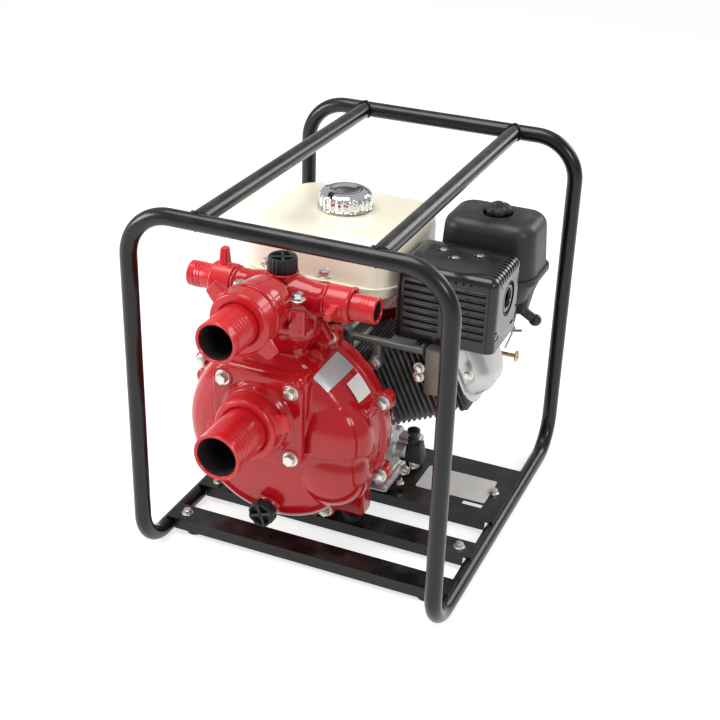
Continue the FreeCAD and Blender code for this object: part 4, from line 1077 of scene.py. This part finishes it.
def fuel_tank():
    low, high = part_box("fuel_tank")
    inset = Vector(mm(TANK_LIP, TANK_LIP, 0))
    top = Vector((0, 0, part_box("fuel_cap")[0].z - 3 * MM))
    shell = slab("tank_shell", low + inset, Vector((high.x, high.y, 0)) - inset + top)
    edit(shell, "edges", runs_along(shell, UP), bpy.ops.mesh.bevel, offset=0.036, segments=10)
    crest = max(vertex.co.z for vertex in shell.data.vertices)
    edit(shell, "edges", lies_at(shell, crest), bpy.ops.mesh.bevel, offset=0.024, segments=8)
    edit(shell, "edges", lies_at(shell, low.z), bpy.ops.mesh.bevel, offset=0.006, segments=3)
    smooth(shell, 50)
    pieces = [shell]
    for height, spread in ((TANK_SEAM, 0), (TANK_SEAM - 2.2, 0.6)):
        lip = slab("tank_lip", Vector((low.x + spread * MM, low.y + spread * MM,
                                       low.z + (height - 1.6) * MM)),
                   Vector((high.x - spread * MM, high.y - spread * MM, low.z + height * MM)))
        edit(lip, "edges", runs_along(lip, UP), bpy.ops.mesh.bevel, offset=0.040, segments=12)
        soften(lip, 0.6, 2, 50)
        pieces.append(lip)
    cap = middle("fuel_cap")
    collar = turned("tank_collar", Vector((cap.x, cap.y, crest - 2 * MM)), UP,
                    [(44, 0), (43, 1.8), (40, 2.6), (37, 2.2), (34, 3.4), (30, 3.6), (27, 4.4),
                     (27, 12), (20, 12)], 96)
    pieces.append(smooth(collar, 40))
    return joined("fuel_tank_shell", pieces)


def lies_at(obj, height):
    """A test for the edges that lie flat at this height."""
    def wanted(edge):
        return all(abs(obj.data.vertices[k].co.z - height) < 1e-6 for k in edge.vertices)
    return wanted


CAP_SCALLOPS = 18


def fuel_cap():
    low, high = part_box("fuel_cap")
    centre = Vector(((low.x + high.x) / 2, (low.y + high.y) / 2, low.z))
    cap = turned("fuel_cap_shell", centre, UP,
                 [(28, 0), (33, 0), (34, 1), (33.6, 2.4), (32.6, 3.2), (32.8, 12), (32.4, 15),
                  (30.5, 18.2), (27, 20.4), (23, 21.6), (19.5, 22), (17.5, 21.4), (15, 20.4),
                  (10, 20), (3, 20)], CAP_SCALLOPS * 8)
    for vertex in cap.data.vertices:
        out = vertex.co - centre
        height = out.z / MM
        out.z = 0
        if 2.8 < height < 18 and out.length > 29 * MM:
            turn = math.atan2(out.y, out.x)
            dip = (0.5 - 0.5 * math.cos(CAP_SCALLOPS * turn)) ** 2
            vertex.co -= out * 0.055 * dip
    return smooth(cap, 50)


# Muffler guard and the stay that carries it


SLOT_ROWS = 7
SLOT_PITCH = 9.0


class PUMP_OT_guard(bpy.types.Operator):
    """Model the muffler guard with its louvres, embossed top and outlet"""

    bl_idname = "pump.guard"
    bl_label = "Muffler guard"

    def execute(self, context):
        dress(muffler_guard(), "guard_black", stands_for=["muffler_guard"])
        dress(guard_bolts(), "bolt_zinc")
        dress(guard_stay(), "cast_dark", stands_for=["muffler_stay"])
        cad_finish("muffler_steel", "muffler")
        return {"FINISHED"}


GUARD_BOLTS = ((82, 252), (102, 236), (126, 254))


def muffler_guard():
    low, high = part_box("muffler_guard")
    shell = slab("guard_shell", low, high)
    floor = low.z
    edit(shell, "edges", lambda edge: not lies_at(shell, floor)(edge), bpy.ops.mesh.bevel,
         offset=0.010, segments=5)
    edit(shell, "polygons", lambda face: face.normal.z > 0.99, bpy.ops.mesh.inset,
         thickness=0.009)
    edit(shell, "polygons", lambda face: face.select, emboss)
    edit(shell, "polygons", lambda face: face.normal.z < -0.99, bpy.ops.mesh.delete, type="FACE")
    modify(shell, "SOLIDIFY", thickness=1.5 * MM, offset=-1)
    column = (high.x - low.x - 36 * MM) / 2
    louvres = [(start, low.z + (14 + row * SLOT_PITCH) * MM) for row in range(SLOT_ROWS)
               for start in (low.x + 12 * MM, low.x + 24 * MM + column)]
    cutters = [slab("slot", Vector((start, low.y - 0.01, z)),
                    Vector((start + column, low.y + 0.01, z + 2.6 * MM)))
               for start, z in louvres]
    for number in range(6):
        cutters.append(bar("hole", Vector((low.x + (46 + number * 9) * MM, low.y - 0.004,
                                           high.z - 9.5 * MM)), REAR, 1.4, 12, 16))
    for number in range(9):
        y = low.y + (14 + number * 7.6) * MM
        cutters.append(slab("slot", Vector((high.x - 11 * MM, y, high.z - 11 * MM)),
                            Vector((high.x + 0.01, y + 3 * MM, high.z + 0.01))))
    port = Vector((high.x, (low.y + high.y) / 2 + 2 * MM, (low.z + high.z) / 2 + 7 * MM))
    cutters.append(bar("port", port + LEFT * 0.01, RIGHT, 21, 20, 64))
    for back, height, wide, tall in ((-38, -28, 5, 3), (-34, -36, 12, 4), (-28, 24, 3, 3),
                                     (34, 24, 3, 3), (34, -22, 8, 4), (20, -38, 12, 4)):
        place = Vector((high.x, port.y + back * MM, port.z + height * MM))
        cutters.append(slab("slot", place + Vector(mm(-8, -wide / 2, -tall / 2)),
                            place + Vector(mm(8, wide / 2, tall / 2))))
    bored(shell, joined("guard_cutters", cutters))
    for x, back in GUARD_BOLTS:
        bored(shell, ball("dimple", at(x, back, 347.5), (9, 9, 6.5), 32))
    smooth(shell, 35)
    pieces = [shell]
    for start, z in louvres:
        lip = bar("louvre", Vector((start, low.y + 1.0 * MM, z + 3.6 * MM)), RIGHT, 2.2,
                  column / MM, 16)
        pieces.append(soften(lip, 0.8, 2))
    ring = turned("guard_port", port + LEFT * 5 * MM, RIGHT,
                  [(20.8, 4.8), (20.8, 2.5), (18, 2.0), (15.5, 4.2), (13, 4.2), (11.5, 2),
                   (11.5, 0), (13, 0), (18, 0.6), (21.4, 1.0), (21.4, 4.8), (20.8, 4.8)], 72, True)
    pieces.append(smooth(ring, 40))
    for x, back in GUARD_BOLTS:
        pieces.append(smooth(turned("dimple_floor", at(x, back, 340.5), UP,
                                    [(8, 0), (9.4, 3.2), (9.2, 3.6), (8, 0.8), (1, 0.8)], 40)))
    return joined("muffler_guard_shell", pieces)


def emboss():
    """Raises the selected faces a little, with sloping sides."""
    bpy.ops.mesh.extrude_region_move(TRANSFORM_OT_translate={"value": (0, 0, 1.6 * MM)})
    bpy.ops.transform.resize(value=(0.95, 0.95, 1))


def guard_bolts():
    places = [(at(x, back, 341.2), UP) for x, back in GUARD_BOLTS]
    return copies("guard_bolts", hex_bolt(8.0, 4.0, 6.4, 1.0), places)


def guard_stay():
    """The cast arm from the crankcase up to the guard, with two eyes."""
    back = 171.0
    pieces = [
        rounded_slab("stay_arm", at(-8, back, 247), at(92, back + 9, 254.6), 2),
        rounded_slab("stay_shelf", at(48, back, 251), at(78, back + 46, 254.6), 1.5, 2),
        rounded_slab("stay_leg", at(29, back, 222), at(40, back + 9, 250), 3),
        bar("stay_eye", at(35, back - 3, 225), REAR, 8, 12),
        bar("stay_eye", at(-4, back - 3, 254), REAR, 8.5, 12),
        rounded_slab("stay_foot", at(-18, back, 227), at(4, back + 9, 256), 3),
    ]
    body = cast_together("guard_stay_body", pieces, 1.0 * MM, 3)
    for x, z in ((35, 225), (-4, 254)):
        bored(body, bar("eye_bore", at(x, back - 6, z), REAR, 3.8, 30, 24))
    return body


# Air cleaner


class PUMP_OT_cleaner(bpy.types.Operator):
    """Model the air cleaner's cover, case and wing knob, and its duct"""

    bl_idname = "pump.cleaner"
    bl_label = "Air cleaner"

    def execute(self, context):
        dress(cleaner_cover(), "plastic_black", stands_for=["air_cleaner_cover"])
        dress(cleaner_case(), "plastic_black", stands_for=["air_cleaner_case"])
        dress(cleaner_knob(), "plastic_black", "air_cleaner_knob_body", ["air_cleaner_knob"])
        dress(choke_lever(), "plastic_black")
        dress(choke_rods(), "bolt_zinc")
        return {"FINISHED"}


def cleaner_cover():
    low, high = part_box("air_cleaner_cover")
    cover = slab("cleaner_cover", low - Vector(mm(9, 4, 0)), high + Vector(mm(6, 4, 6)))
    shrink_end(cover, UP, 0.93)
    edit(cover, "edges", runs_along(cover, UP), bpy.ops.mesh.bevel, offset=0.024, segments=8)
    crest = max(vertex.co.z for vertex in cover.data.vertices)
    edit(cover, "edges", lies_at(cover, crest), bpy.ops.mesh.bevel, offset=0.014, segments=6)
    smooth(cover, 50)
    centre = middle("air_cleaner_knob")
    seat = turned("cleaner_seat", Vector((centre.x, centre.y, crest - 1 * MM)), UP,
                  [(24, 0), (23.4, 1.4), (20, 1.8), (18, 1.0), (3, 1.0)], 64)
    return joined("cleaner_cover_moulding", [cover, smooth(seat)])


def cleaner_case():
    low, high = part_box("air_cleaner_case")
    case = slab("cleaner_case", low + Vector(mm(2, 2, -6)), high + Vector(mm(-2, -2, 0)))
    shrink_end(case, DOWN, 0.84)
    edit(case, "edges", runs_along(case, UP), bpy.ops.mesh.bevel, offset=0.018, segments=7)
    soften(case, 3.0, 3, 50)
    lip = slab("cleaner_lip", Vector((low.x - 3 * MM, low.y, high.z - 2 * MM)),
               high + Vector(mm(2, 0, 5)))
    edit(lip, "edges", runs_along(lip, UP), bpy.ops.mesh.bevel, offset=0.024, segments=8)
    soften(lip, 1.6, 3, 50)
    duct = slab("cleaner_duct", at(118, 296, 226), at(160, 338, 276))
    shrink_end(duct, DOWN, 0.62)
    soften(duct, 6, 4, 50)
    elbow = slab("cleaner_elbow", at(140, 318, 246), at(171, 350, 282))
    shrink_end(elbow, DOWN, 0.6)
    soften(elbow, 5, 4, 50)
    return joined("cleaner_case_moulding", [case, lip, duct, elbow])


KNOB_LOBES = 6


def cleaner_knob():
    low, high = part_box("air_cleaner_knob")
    centre = Vector(((low.x + high.x) / 2, (low.y + high.y) / 2, low.z + 5 * MM))
    knob = turned("cleaner_knob_moulding", centre, UP,
                  [(12, 0), (15.6, 0.4), (16.4, 2.5), (16.2, 7.5), (14.4, 9.6), (10, 10.4),
                   (6.5, 11), (6, 13), (4.6, 14), (1, 14)], KNOB_LOBES * 16)
    for vertex in knob.data.vertices:
        out = vertex.co - centre
        out.z = 0
        if out.length > 9 * MM:
            dip = (0.5 - 0.5 * math.cos(KNOB_LOBES * math.atan2(out.y, out.x))) ** 3
            vertex.co -= out * 0.17 * dip
    return smooth(knob, 50)


def choke_lever():
    """The lever with its round end, below the air cleaner."""
    arm = bar("choke_arm", at(160, 330, 252), at(176, 336, 239) - at(160, 330, 252), 6, 20, 24)
    grip = ball("choke_grip", at(176, 336, 239), (8, 8, 7.5), 32)
    return joined("choke_lever", [smooth(arm), smooth(grip, 60)])


def choke_rods():
    rods = []
    for start, end, radius in ((at(120, 312, 222), at(166, 318, 230), 1.8),
                               (at(120, 314, 240), at(160, 317, 229), 1.4),
                               (at(150, 306, 208), at(156, 322, 232), 1.4)):
        rods.append(smooth(bar("choke_rod", start, end - start, radius,
                               (end - start).length / MM, 16)))
    return joined("choke_rods", rods)


# Engine


class PUMP_OT_engine(bpy.types.Operator):
    """Model the engine's castings, head cover, filler and hardware"""

    bl_idname = "pump.engine"
    bl_label = "Engine"

    def execute(self, context):
        cad_finish("cast_aluminium", "crankcase_cover", "carburettor")
        cad_finish("engine_black", "cylinder_block", "cylinder_head", "recoil_starter")
        cad_finish("plastic_black", "recoil_handle")
        cad_finish("bracket_steel", "tank_brackets")
        cad_finish("fan_red", "fan_cover")
        dress(crankcase(), "cast_aluminium", stands_for=["crankcase"])
        dress(head_cover(), "lid_silver", stands_for=["head_cover"])
        dress(head_fins(), "engine_black")
        dress(oil_filler(), "plastic_black", stands_for=["oil_filler_cap"])
        dress(side_plug(), "plastic_black")
        dress(engine_bolts(), "bolt_zinc")
        dress(heat_plate(), "bracket_steel")
        dress(float_bowl(), "cast_aluminium")
        dress(drain_fitting(), "brass")
        dress(bare_plate(), "plate_white")
        return {"FINISHED"}


CYLINDER_BACK = 232.0
GUARD_FLOOR = 253.5


def leaned(obj):
    """Moves a piece from the cylinder's own frame to its place on the engine."""
    out = Vector((math.cos(LEAN), 0, math.sin(LEAN)))
    side = Vector((-math.sin(LEAN), 0, math.cos(LEAN)))
    basis = Matrix((out, REAR, side)).transposed().to_4x4()
    start = Vector((CRANK.x, HOOP_PLANE + CYLINDER_BACK * MM, CRANK.z))
    return placed(obj, start, basis)


def crankcase():
    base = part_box("crankcase")[0].z / MM
    neck = leaned(slab("case_neck", Vector(mm(10, -50, -40)), Vector(mm(76.5, 50, 40))))
    pieces = [
        rounded_slab("case_block", at(-127, 170, base), at(-17, 300, 236), 8, 3),
        rounded_slab("case_front_base", at(-140, 180, base), at(52, 248, base + 11), 3, 2),
        rounded_slab("case_rear_base", at(-140, 240, base), at(18, 328, base + 11), 3, 2),
        rounded_slab("case_belly", at(-30, 188, base + 6), at(44, 246, 104), 12, 4),
        rounded_slab("case_shoulder", at(-24, 184, 96), at(30, 262, 150), 10, 4),
        rounded_slab("case_corner", at(10, 188, 130), at(57, 212, 176), 7, 3),
        rounded_slab("case_ear", at(12, 296, base), at(48, 322, base + 9), 3, 2),
        neck,
    ]
    for x in (-8, 14, 36):
        pieces.append(rounded_slab("case_rib", at(x - 2, 182, base + 8), at(x + 2, 200, 96), 1, 1))
    for x, bottom in ((46, 112), (54, 128)):
        pieces.append(rounded_slab("case_rib", at(x - 2, 181, bottom), at(x + 2, 196, 178), 1, 1))
    for back in (188, 216, 244, 272):
        pieces.append(rounded_slab("case_side_rib", at(-130, back, base + 8),
                                   at(-124, back + 4, 224), 1.5, 1))
    pieces.append(bar("case_plug_boss", at(-118, 232, 74), LEFT, 15, 13))
    for x, back in ((40, 194), (36, 238), (-126, 196)):
        pieces.append(bar("case_boss", at(x, back, base), UP, 9, 16))
    pieces.append(bar("case_filler_neck", at(34, 226, 82), RIGHT, 10, 26))
    return cast_together("crankcase_body", pieces, 1.8 * MM, 3)


def head_cover():
    """The bright lid over the valves: a rolled flange and a bulging face."""
    flange = slab("lid_flange", Vector(mm(197, -46, -55)), Vector(mm(201.6, 46, 45)))
    edit(flange, "edges", runs_along(flange, RIGHT, 0.8), bpy.ops.mesh.bevel, offset=0.024,
         segments=10)
    soften(flange, 1.8, 4, 50)
    lid = slab("lid_face", Vector(mm(200, -41, -50)), Vector(mm(228, 41, 40)))
    shrink_end(lid, RIGHT, 0.88)
    edit(lid, "edges", runs_along(lid, RIGHT, 0.8), bpy.ops.mesh.bevel, offset=0.026, segments=10)
    crest = max(vertex.co.x for vertex in lid.data.vertices)
    edit(lid, "edges", lambda edge: all(abs(lid.data.vertices[k].co.x - crest) < 1e-6
                                        for k in edge.vertices),
         bpy.ops.mesh.bevel, offset=0.014, segments=7)
    smooth(lid, 50)
    return smooth(joined("head_cover_lid", [under_guard(flange), under_guard(lid)]), 50)


def under_guard(piece):
    """Leans a piece like the cylinder and cuts off what would reach into the guard."""
    return edit(leaned(piece), "vertices", everything, cut_away, place=at(0, 0, GUARD_FLOOR),
                normal=(0, 0, -1))


def head_fins():
    """The head's last fins, behind the lid."""
    core = slab("head_core", Vector(mm(180, -42, -50)), Vector(mm(199, 42, 41)))
    pieces = [under_guard(core)]
    for out in (186.5, 191.5):
        fin = slab("head_fin", Vector(mm(out, -48, -57)), Vector(mm(out + 2.2, 48, 47)))
        edit(fin, "edges", runs_along(fin, RIGHT, 0.8), bpy.ops.mesh.bevel, offset=0.008,
             segments=4)
        pieces.append(soften(under_guard(fin), 0.5, 2, 50))
    return joined("head_fins", pieces)


def oil_filler():
    """The black fitting low on the crankcase, and the stick above it."""
    block = slab("filler_block", at(58, 218, 70), at(82, 240, 96))
    shrink_end(block, UP, 0.66)
    soften(block, 3, 4, 50)
    stick = turned("filler_stick", at(66, 229, 94), UP,
                   [(7, 0), (7, 7), (5, 9), (5, 13), (8, 14), (8, 18), (5, 20), (1, 20)], 32)
    return joined("oil_filler_body", [block, smooth(stick)])


def side_plug():
    """The filler plug on the crankcase's far side."""
    plug = turned("side_plug", at(-130.5, 232, 74), LEFT,
                  [(11, 0), (12, 1), (12, 6), (10.5, 8), (3.5, 8), (3, 12), (1, 12)], 32)
    return smooth(plug)


def engine_bolts():
    places = [(at(88, 174, 229), FRONT), (at(88, 174, 218), FRONT), (at(145, 178, 232), FRONT),
              (at(40, 194, 59.5), UP), (at(48, 232, 28), UP), (at(70, 226, 66), FRONT),
              (at(62, 214, 62), FRONT), (at(-126, 196, 59.5), UP), (at(35, 168, 225), FRONT),
              (at(-127, 266, 62), LEFT), (at(-127, 202, 212), LEFT), (at(-127, 262, 212), LEFT)]
    return copies("engine_bolts", hex_bolt(9.0, 5.0, 7.0, 1.2), places)


def heat_plate():
    """The plain plate that stands in front of the cylinder head."""
    plate = slab("heat_plate", at(95, 172, 198), at(113, 174.5, 254))
    soften(plate, 1.0, 2, 50)
    tab = slab("heat_tab", at(95, 172, 252), at(113, 190, 254.5))
    return joined("heat_plate", [plate, soften(tab, 0.6, 2, 50)])


def float_bowl():
    """The bowl below the carburettor."""
    bowl = turned("float_bowl", at(122, 300, 197), UP,
                  [(5, 0), (13, 1), (16, 4), (17, 22), (19, 22.5), (19, 28)], 48)
    return smooth(bowl, 40)


def drain_fitting():
    """The brass drain of the bowl, with its ring."""
    stub = smooth(bar("fitting_stub", at(136, 300, 204), RIGHT, 2.6, 30, 24))
    bpy.ops.object.select_all(action="DESELECT")
    bpy.ops.mesh.primitive_torus_add(major_radius=0.0055, minor_radius=0.0016,
                                     location=at(167, 300, 204), rotation=(0, math.pi / 2, 0))
    return joined("drain_fitting", [smooth(settled("fitting_ring")), stub])


def bare_plate():
    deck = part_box("engine_base_plate")[1].z
    low, high = at(66, 244, 0), at(158, 298, 0)
    plate = slab("base_bare_plate", Vector((low.x, low.y, deck)),
                 Vector((high.x, high.y, deck + sizes().plate_thick)))
    edit(plate, "edges", runs_along(plate, UP), bpy.ops.mesh.bevel, offset=0.003, segments=4)
    return plate


# Stage, lights and camera


CAMERA_PLACE = Vector((0.5435, -1.2971, 0.9387))
CAMERA_AZIMUTH = math.radians(22.65)
CAMERA_ELEVATION = math.radians(27.55)
CAMERA_ROLL = math.radians(1.83)
CAMERA_LENS = 66.47


class PUMP_OT_stage(bpy.types.Operator):
    """Set up the pale floor, the studio light and the camera"""

    bl_idname = "pump.stage"
    bl_label = "Stage"

    def execute(self, context):
        lay_floor()
        light_room(context.scene)
        for name, place, aim, size, power in (
                ("Top softbox", (-0.3, -0.2, 1.9), (0, 0, 0.2), 1.2, 24.0),
                ("Left softbox", (-1.6, -0.9, 0.9), (0, 0, 0.2), 0.8, 20.0),
                ("Right softbox", (1.5, -1.0, 1.3), (0, 0, 0.25), 0.5, 9.0),
                ("Rear softbox", (0.9, 1.5, 1.1), (0, 0, 0.25), 0.8, 9.0)):
            hang_lamp(name, Vector(place), Vector(aim), size, power)
        set_camera(context.scene)
        context.scene.view_settings.view_transform = "Standard"
        return {"FINISHED"}


def lay_floor():
    """A pale floor that shows white to the camera and keeps the object's shadow."""
    bpy.ops.object.select_all(action="DESELECT")
    bpy.ops.mesh.primitive_plane_add(size=40, location=(0, 0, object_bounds()[0].z - 0.0005))
    floor = settled("studio_floor")
    material = bpy.data.materials.new("Studio floor")
    material.use_nodes = True
    tree = material.node_tree
    tree.nodes.clear()
    ray = new_node(tree, "ShaderNodeLightPath")
    seen = new_node(tree, "ShaderNodeMath",
                    {0: ray.outputs["Is Camera Ray"], 1: ray.outputs["Is Glossy Ray"]},
                    operation="MAXIMUM")
    matt = new_node(tree, "ShaderNodeBsdfDiffuse", {"Color": (0.55, 0.55, 0.55, 1)})
    glow = new_node(tree, "ShaderNodeEmission", {"Color": (1, 1, 1, 1), "Strength": 0.7})
    shown = new_node(tree, "ShaderNodeAddShader",
                     {0: matt.outputs["BSDF"], 1: glow.outputs["Emission"]})
    plain = new_node(tree, "ShaderNodeBsdfDiffuse", {"Color": (0.8, 0.8, 0.8, 1)})
    mix = new_node(tree, "ShaderNodeMixShader",
                   {0: seen.outputs["Value"], 1: plain.outputs["BSDF"],
                    2: shown.outputs["Shader"]})
    new_node(tree, "ShaderNodeOutputMaterial", {"Surface": mix.outputs["Shader"]})
    floor.data.materials.append(material)
    floor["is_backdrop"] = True


def light_room(scene):
    """Soft light from all round; the camera and reflections see a white room."""
    world = bpy.data.worlds.new("Studio")
    scene.world = world
    world.use_nodes = True
    tree = world.node_tree
    tree.nodes.clear()
    ray = new_node(tree, "ShaderNodeLightPath")
    soft = new_node(tree, "ShaderNodeBackground", {"Color": (1, 1, 1, 1), "Strength": 0.42})
    shiny = new_node(tree, "ShaderNodeBackground", {"Color": (1, 1, 1, 1), "Strength": 0.5})
    white = new_node(tree, "ShaderNodeBackground", {"Color": (1, 1, 1, 1), "Strength": 1.0})
    first = new_node(tree, "ShaderNodeMixShader",
                     {0: ray.outputs["Is Glossy Ray"], 1: soft.outputs["Background"],
                      2: shiny.outputs["Background"]})
    second = new_node(tree, "ShaderNodeMixShader",
                      {0: ray.outputs["Is Camera Ray"], 1: first.outputs["Shader"],
                       2: white.outputs["Background"]})
    new_node(tree, "ShaderNodeOutputWorld", {"Surface": second.outputs["Shader"]})


def hang_lamp(name, place, aim, size, power):
    lamp = bpy.data.lights.new(name, "AREA")
    lamp.size = size
    lamp.energy = power
    obj = bpy.data.objects.new(name, lamp)
    bpy.context.collection.objects.link(obj)
    obj.location = place
    obj.rotation_euler = (aim - place).to_track_quat("-Z", "Y").to_euler()


def set_camera(scene):
    """The photograph's viewpoint, from its azimuth, elevation and roll."""
    back = Vector((math.sin(CAMERA_AZIMUTH) * math.cos(CAMERA_ELEVATION),
                   -math.cos(CAMERA_AZIMUTH) * math.cos(CAMERA_ELEVATION),
                   math.sin(CAMERA_ELEVATION)))
    across = UP.cross(back).normalized()
    upward = back.cross(across)
    right = across * math.cos(CAMERA_ROLL) + upward * math.sin(CAMERA_ROLL)
    above = upward * math.cos(CAMERA_ROLL) - across * math.sin(CAMERA_ROLL)
    camera = bpy.data.cameras.new("Camera")
    camera.lens = CAMERA_LENS
    obj = bpy.data.objects.new("Camera", camera)
    bpy.context.collection.objects.link(obj)
    turn = Matrix((right, above, back)).transposed().to_4x4()
    obj.matrix_world = Matrix.Translation(CAMERA_PLACE) @ turn
    scene.camera = obj


OPERATORS = (PUMP_OT_frame, PUMP_OT_casing, PUMP_OT_suction, PUMP_OT_manifold,
             PUMP_OT_couplings, PUMP_OT_plugs, PUMP_OT_tank, PUMP_OT_guard, PUMP_OT_cleaner,
             PUMP_OT_engine, PUMP_OT_stage)


class PUMP_PT_finish(bpy.types.Panel):
    """The pump's sizes, colours and building steps"""

    bl_idname = "PUMP_PT_finish"
    bl_label = "Water Pump Finish"
    bl_space_type = "VIEW_3D"
    bl_region_type = "UI"
    bl_category = "Pump"

    def draw(self, context):
        for settings in (context.scene.pump_sizes, context.scene.pump_colours):
            box = self.layout.box()
            for key in settings.bl_rna.properties.keys():
                if key not in ("rna_type", "name"):
                    box.prop(settings, key)
        for operator in OPERATORS:
            self.layout.operator(operator.bl_idname)


CLASSES = (PumpColours, PumpSizes, *OPERATORS, PUMP_PT_finish)


def register():
    for item in CLASSES:
        bpy.utils.register_class(item)
    bpy.types.Scene.pump_colours = bpy.props.PointerProperty(type=PumpColours)
    bpy.types.Scene.pump_sizes = bpy.props.PointerProperty(type=PumpSizes)


def unregister():
    del bpy.types.Scene.pump_sizes
    del bpy.types.Scene.pump_colours
    for item in reversed(CLASSES):
        bpy.utils.unregister_class(item)


def main():
    register()
    for operator in OPERATORS:
        group, name = operator.bl_idname.split(".")
        getattr(getattr(bpy.ops, group), name)()


if __name__ == "__main__":
    main()
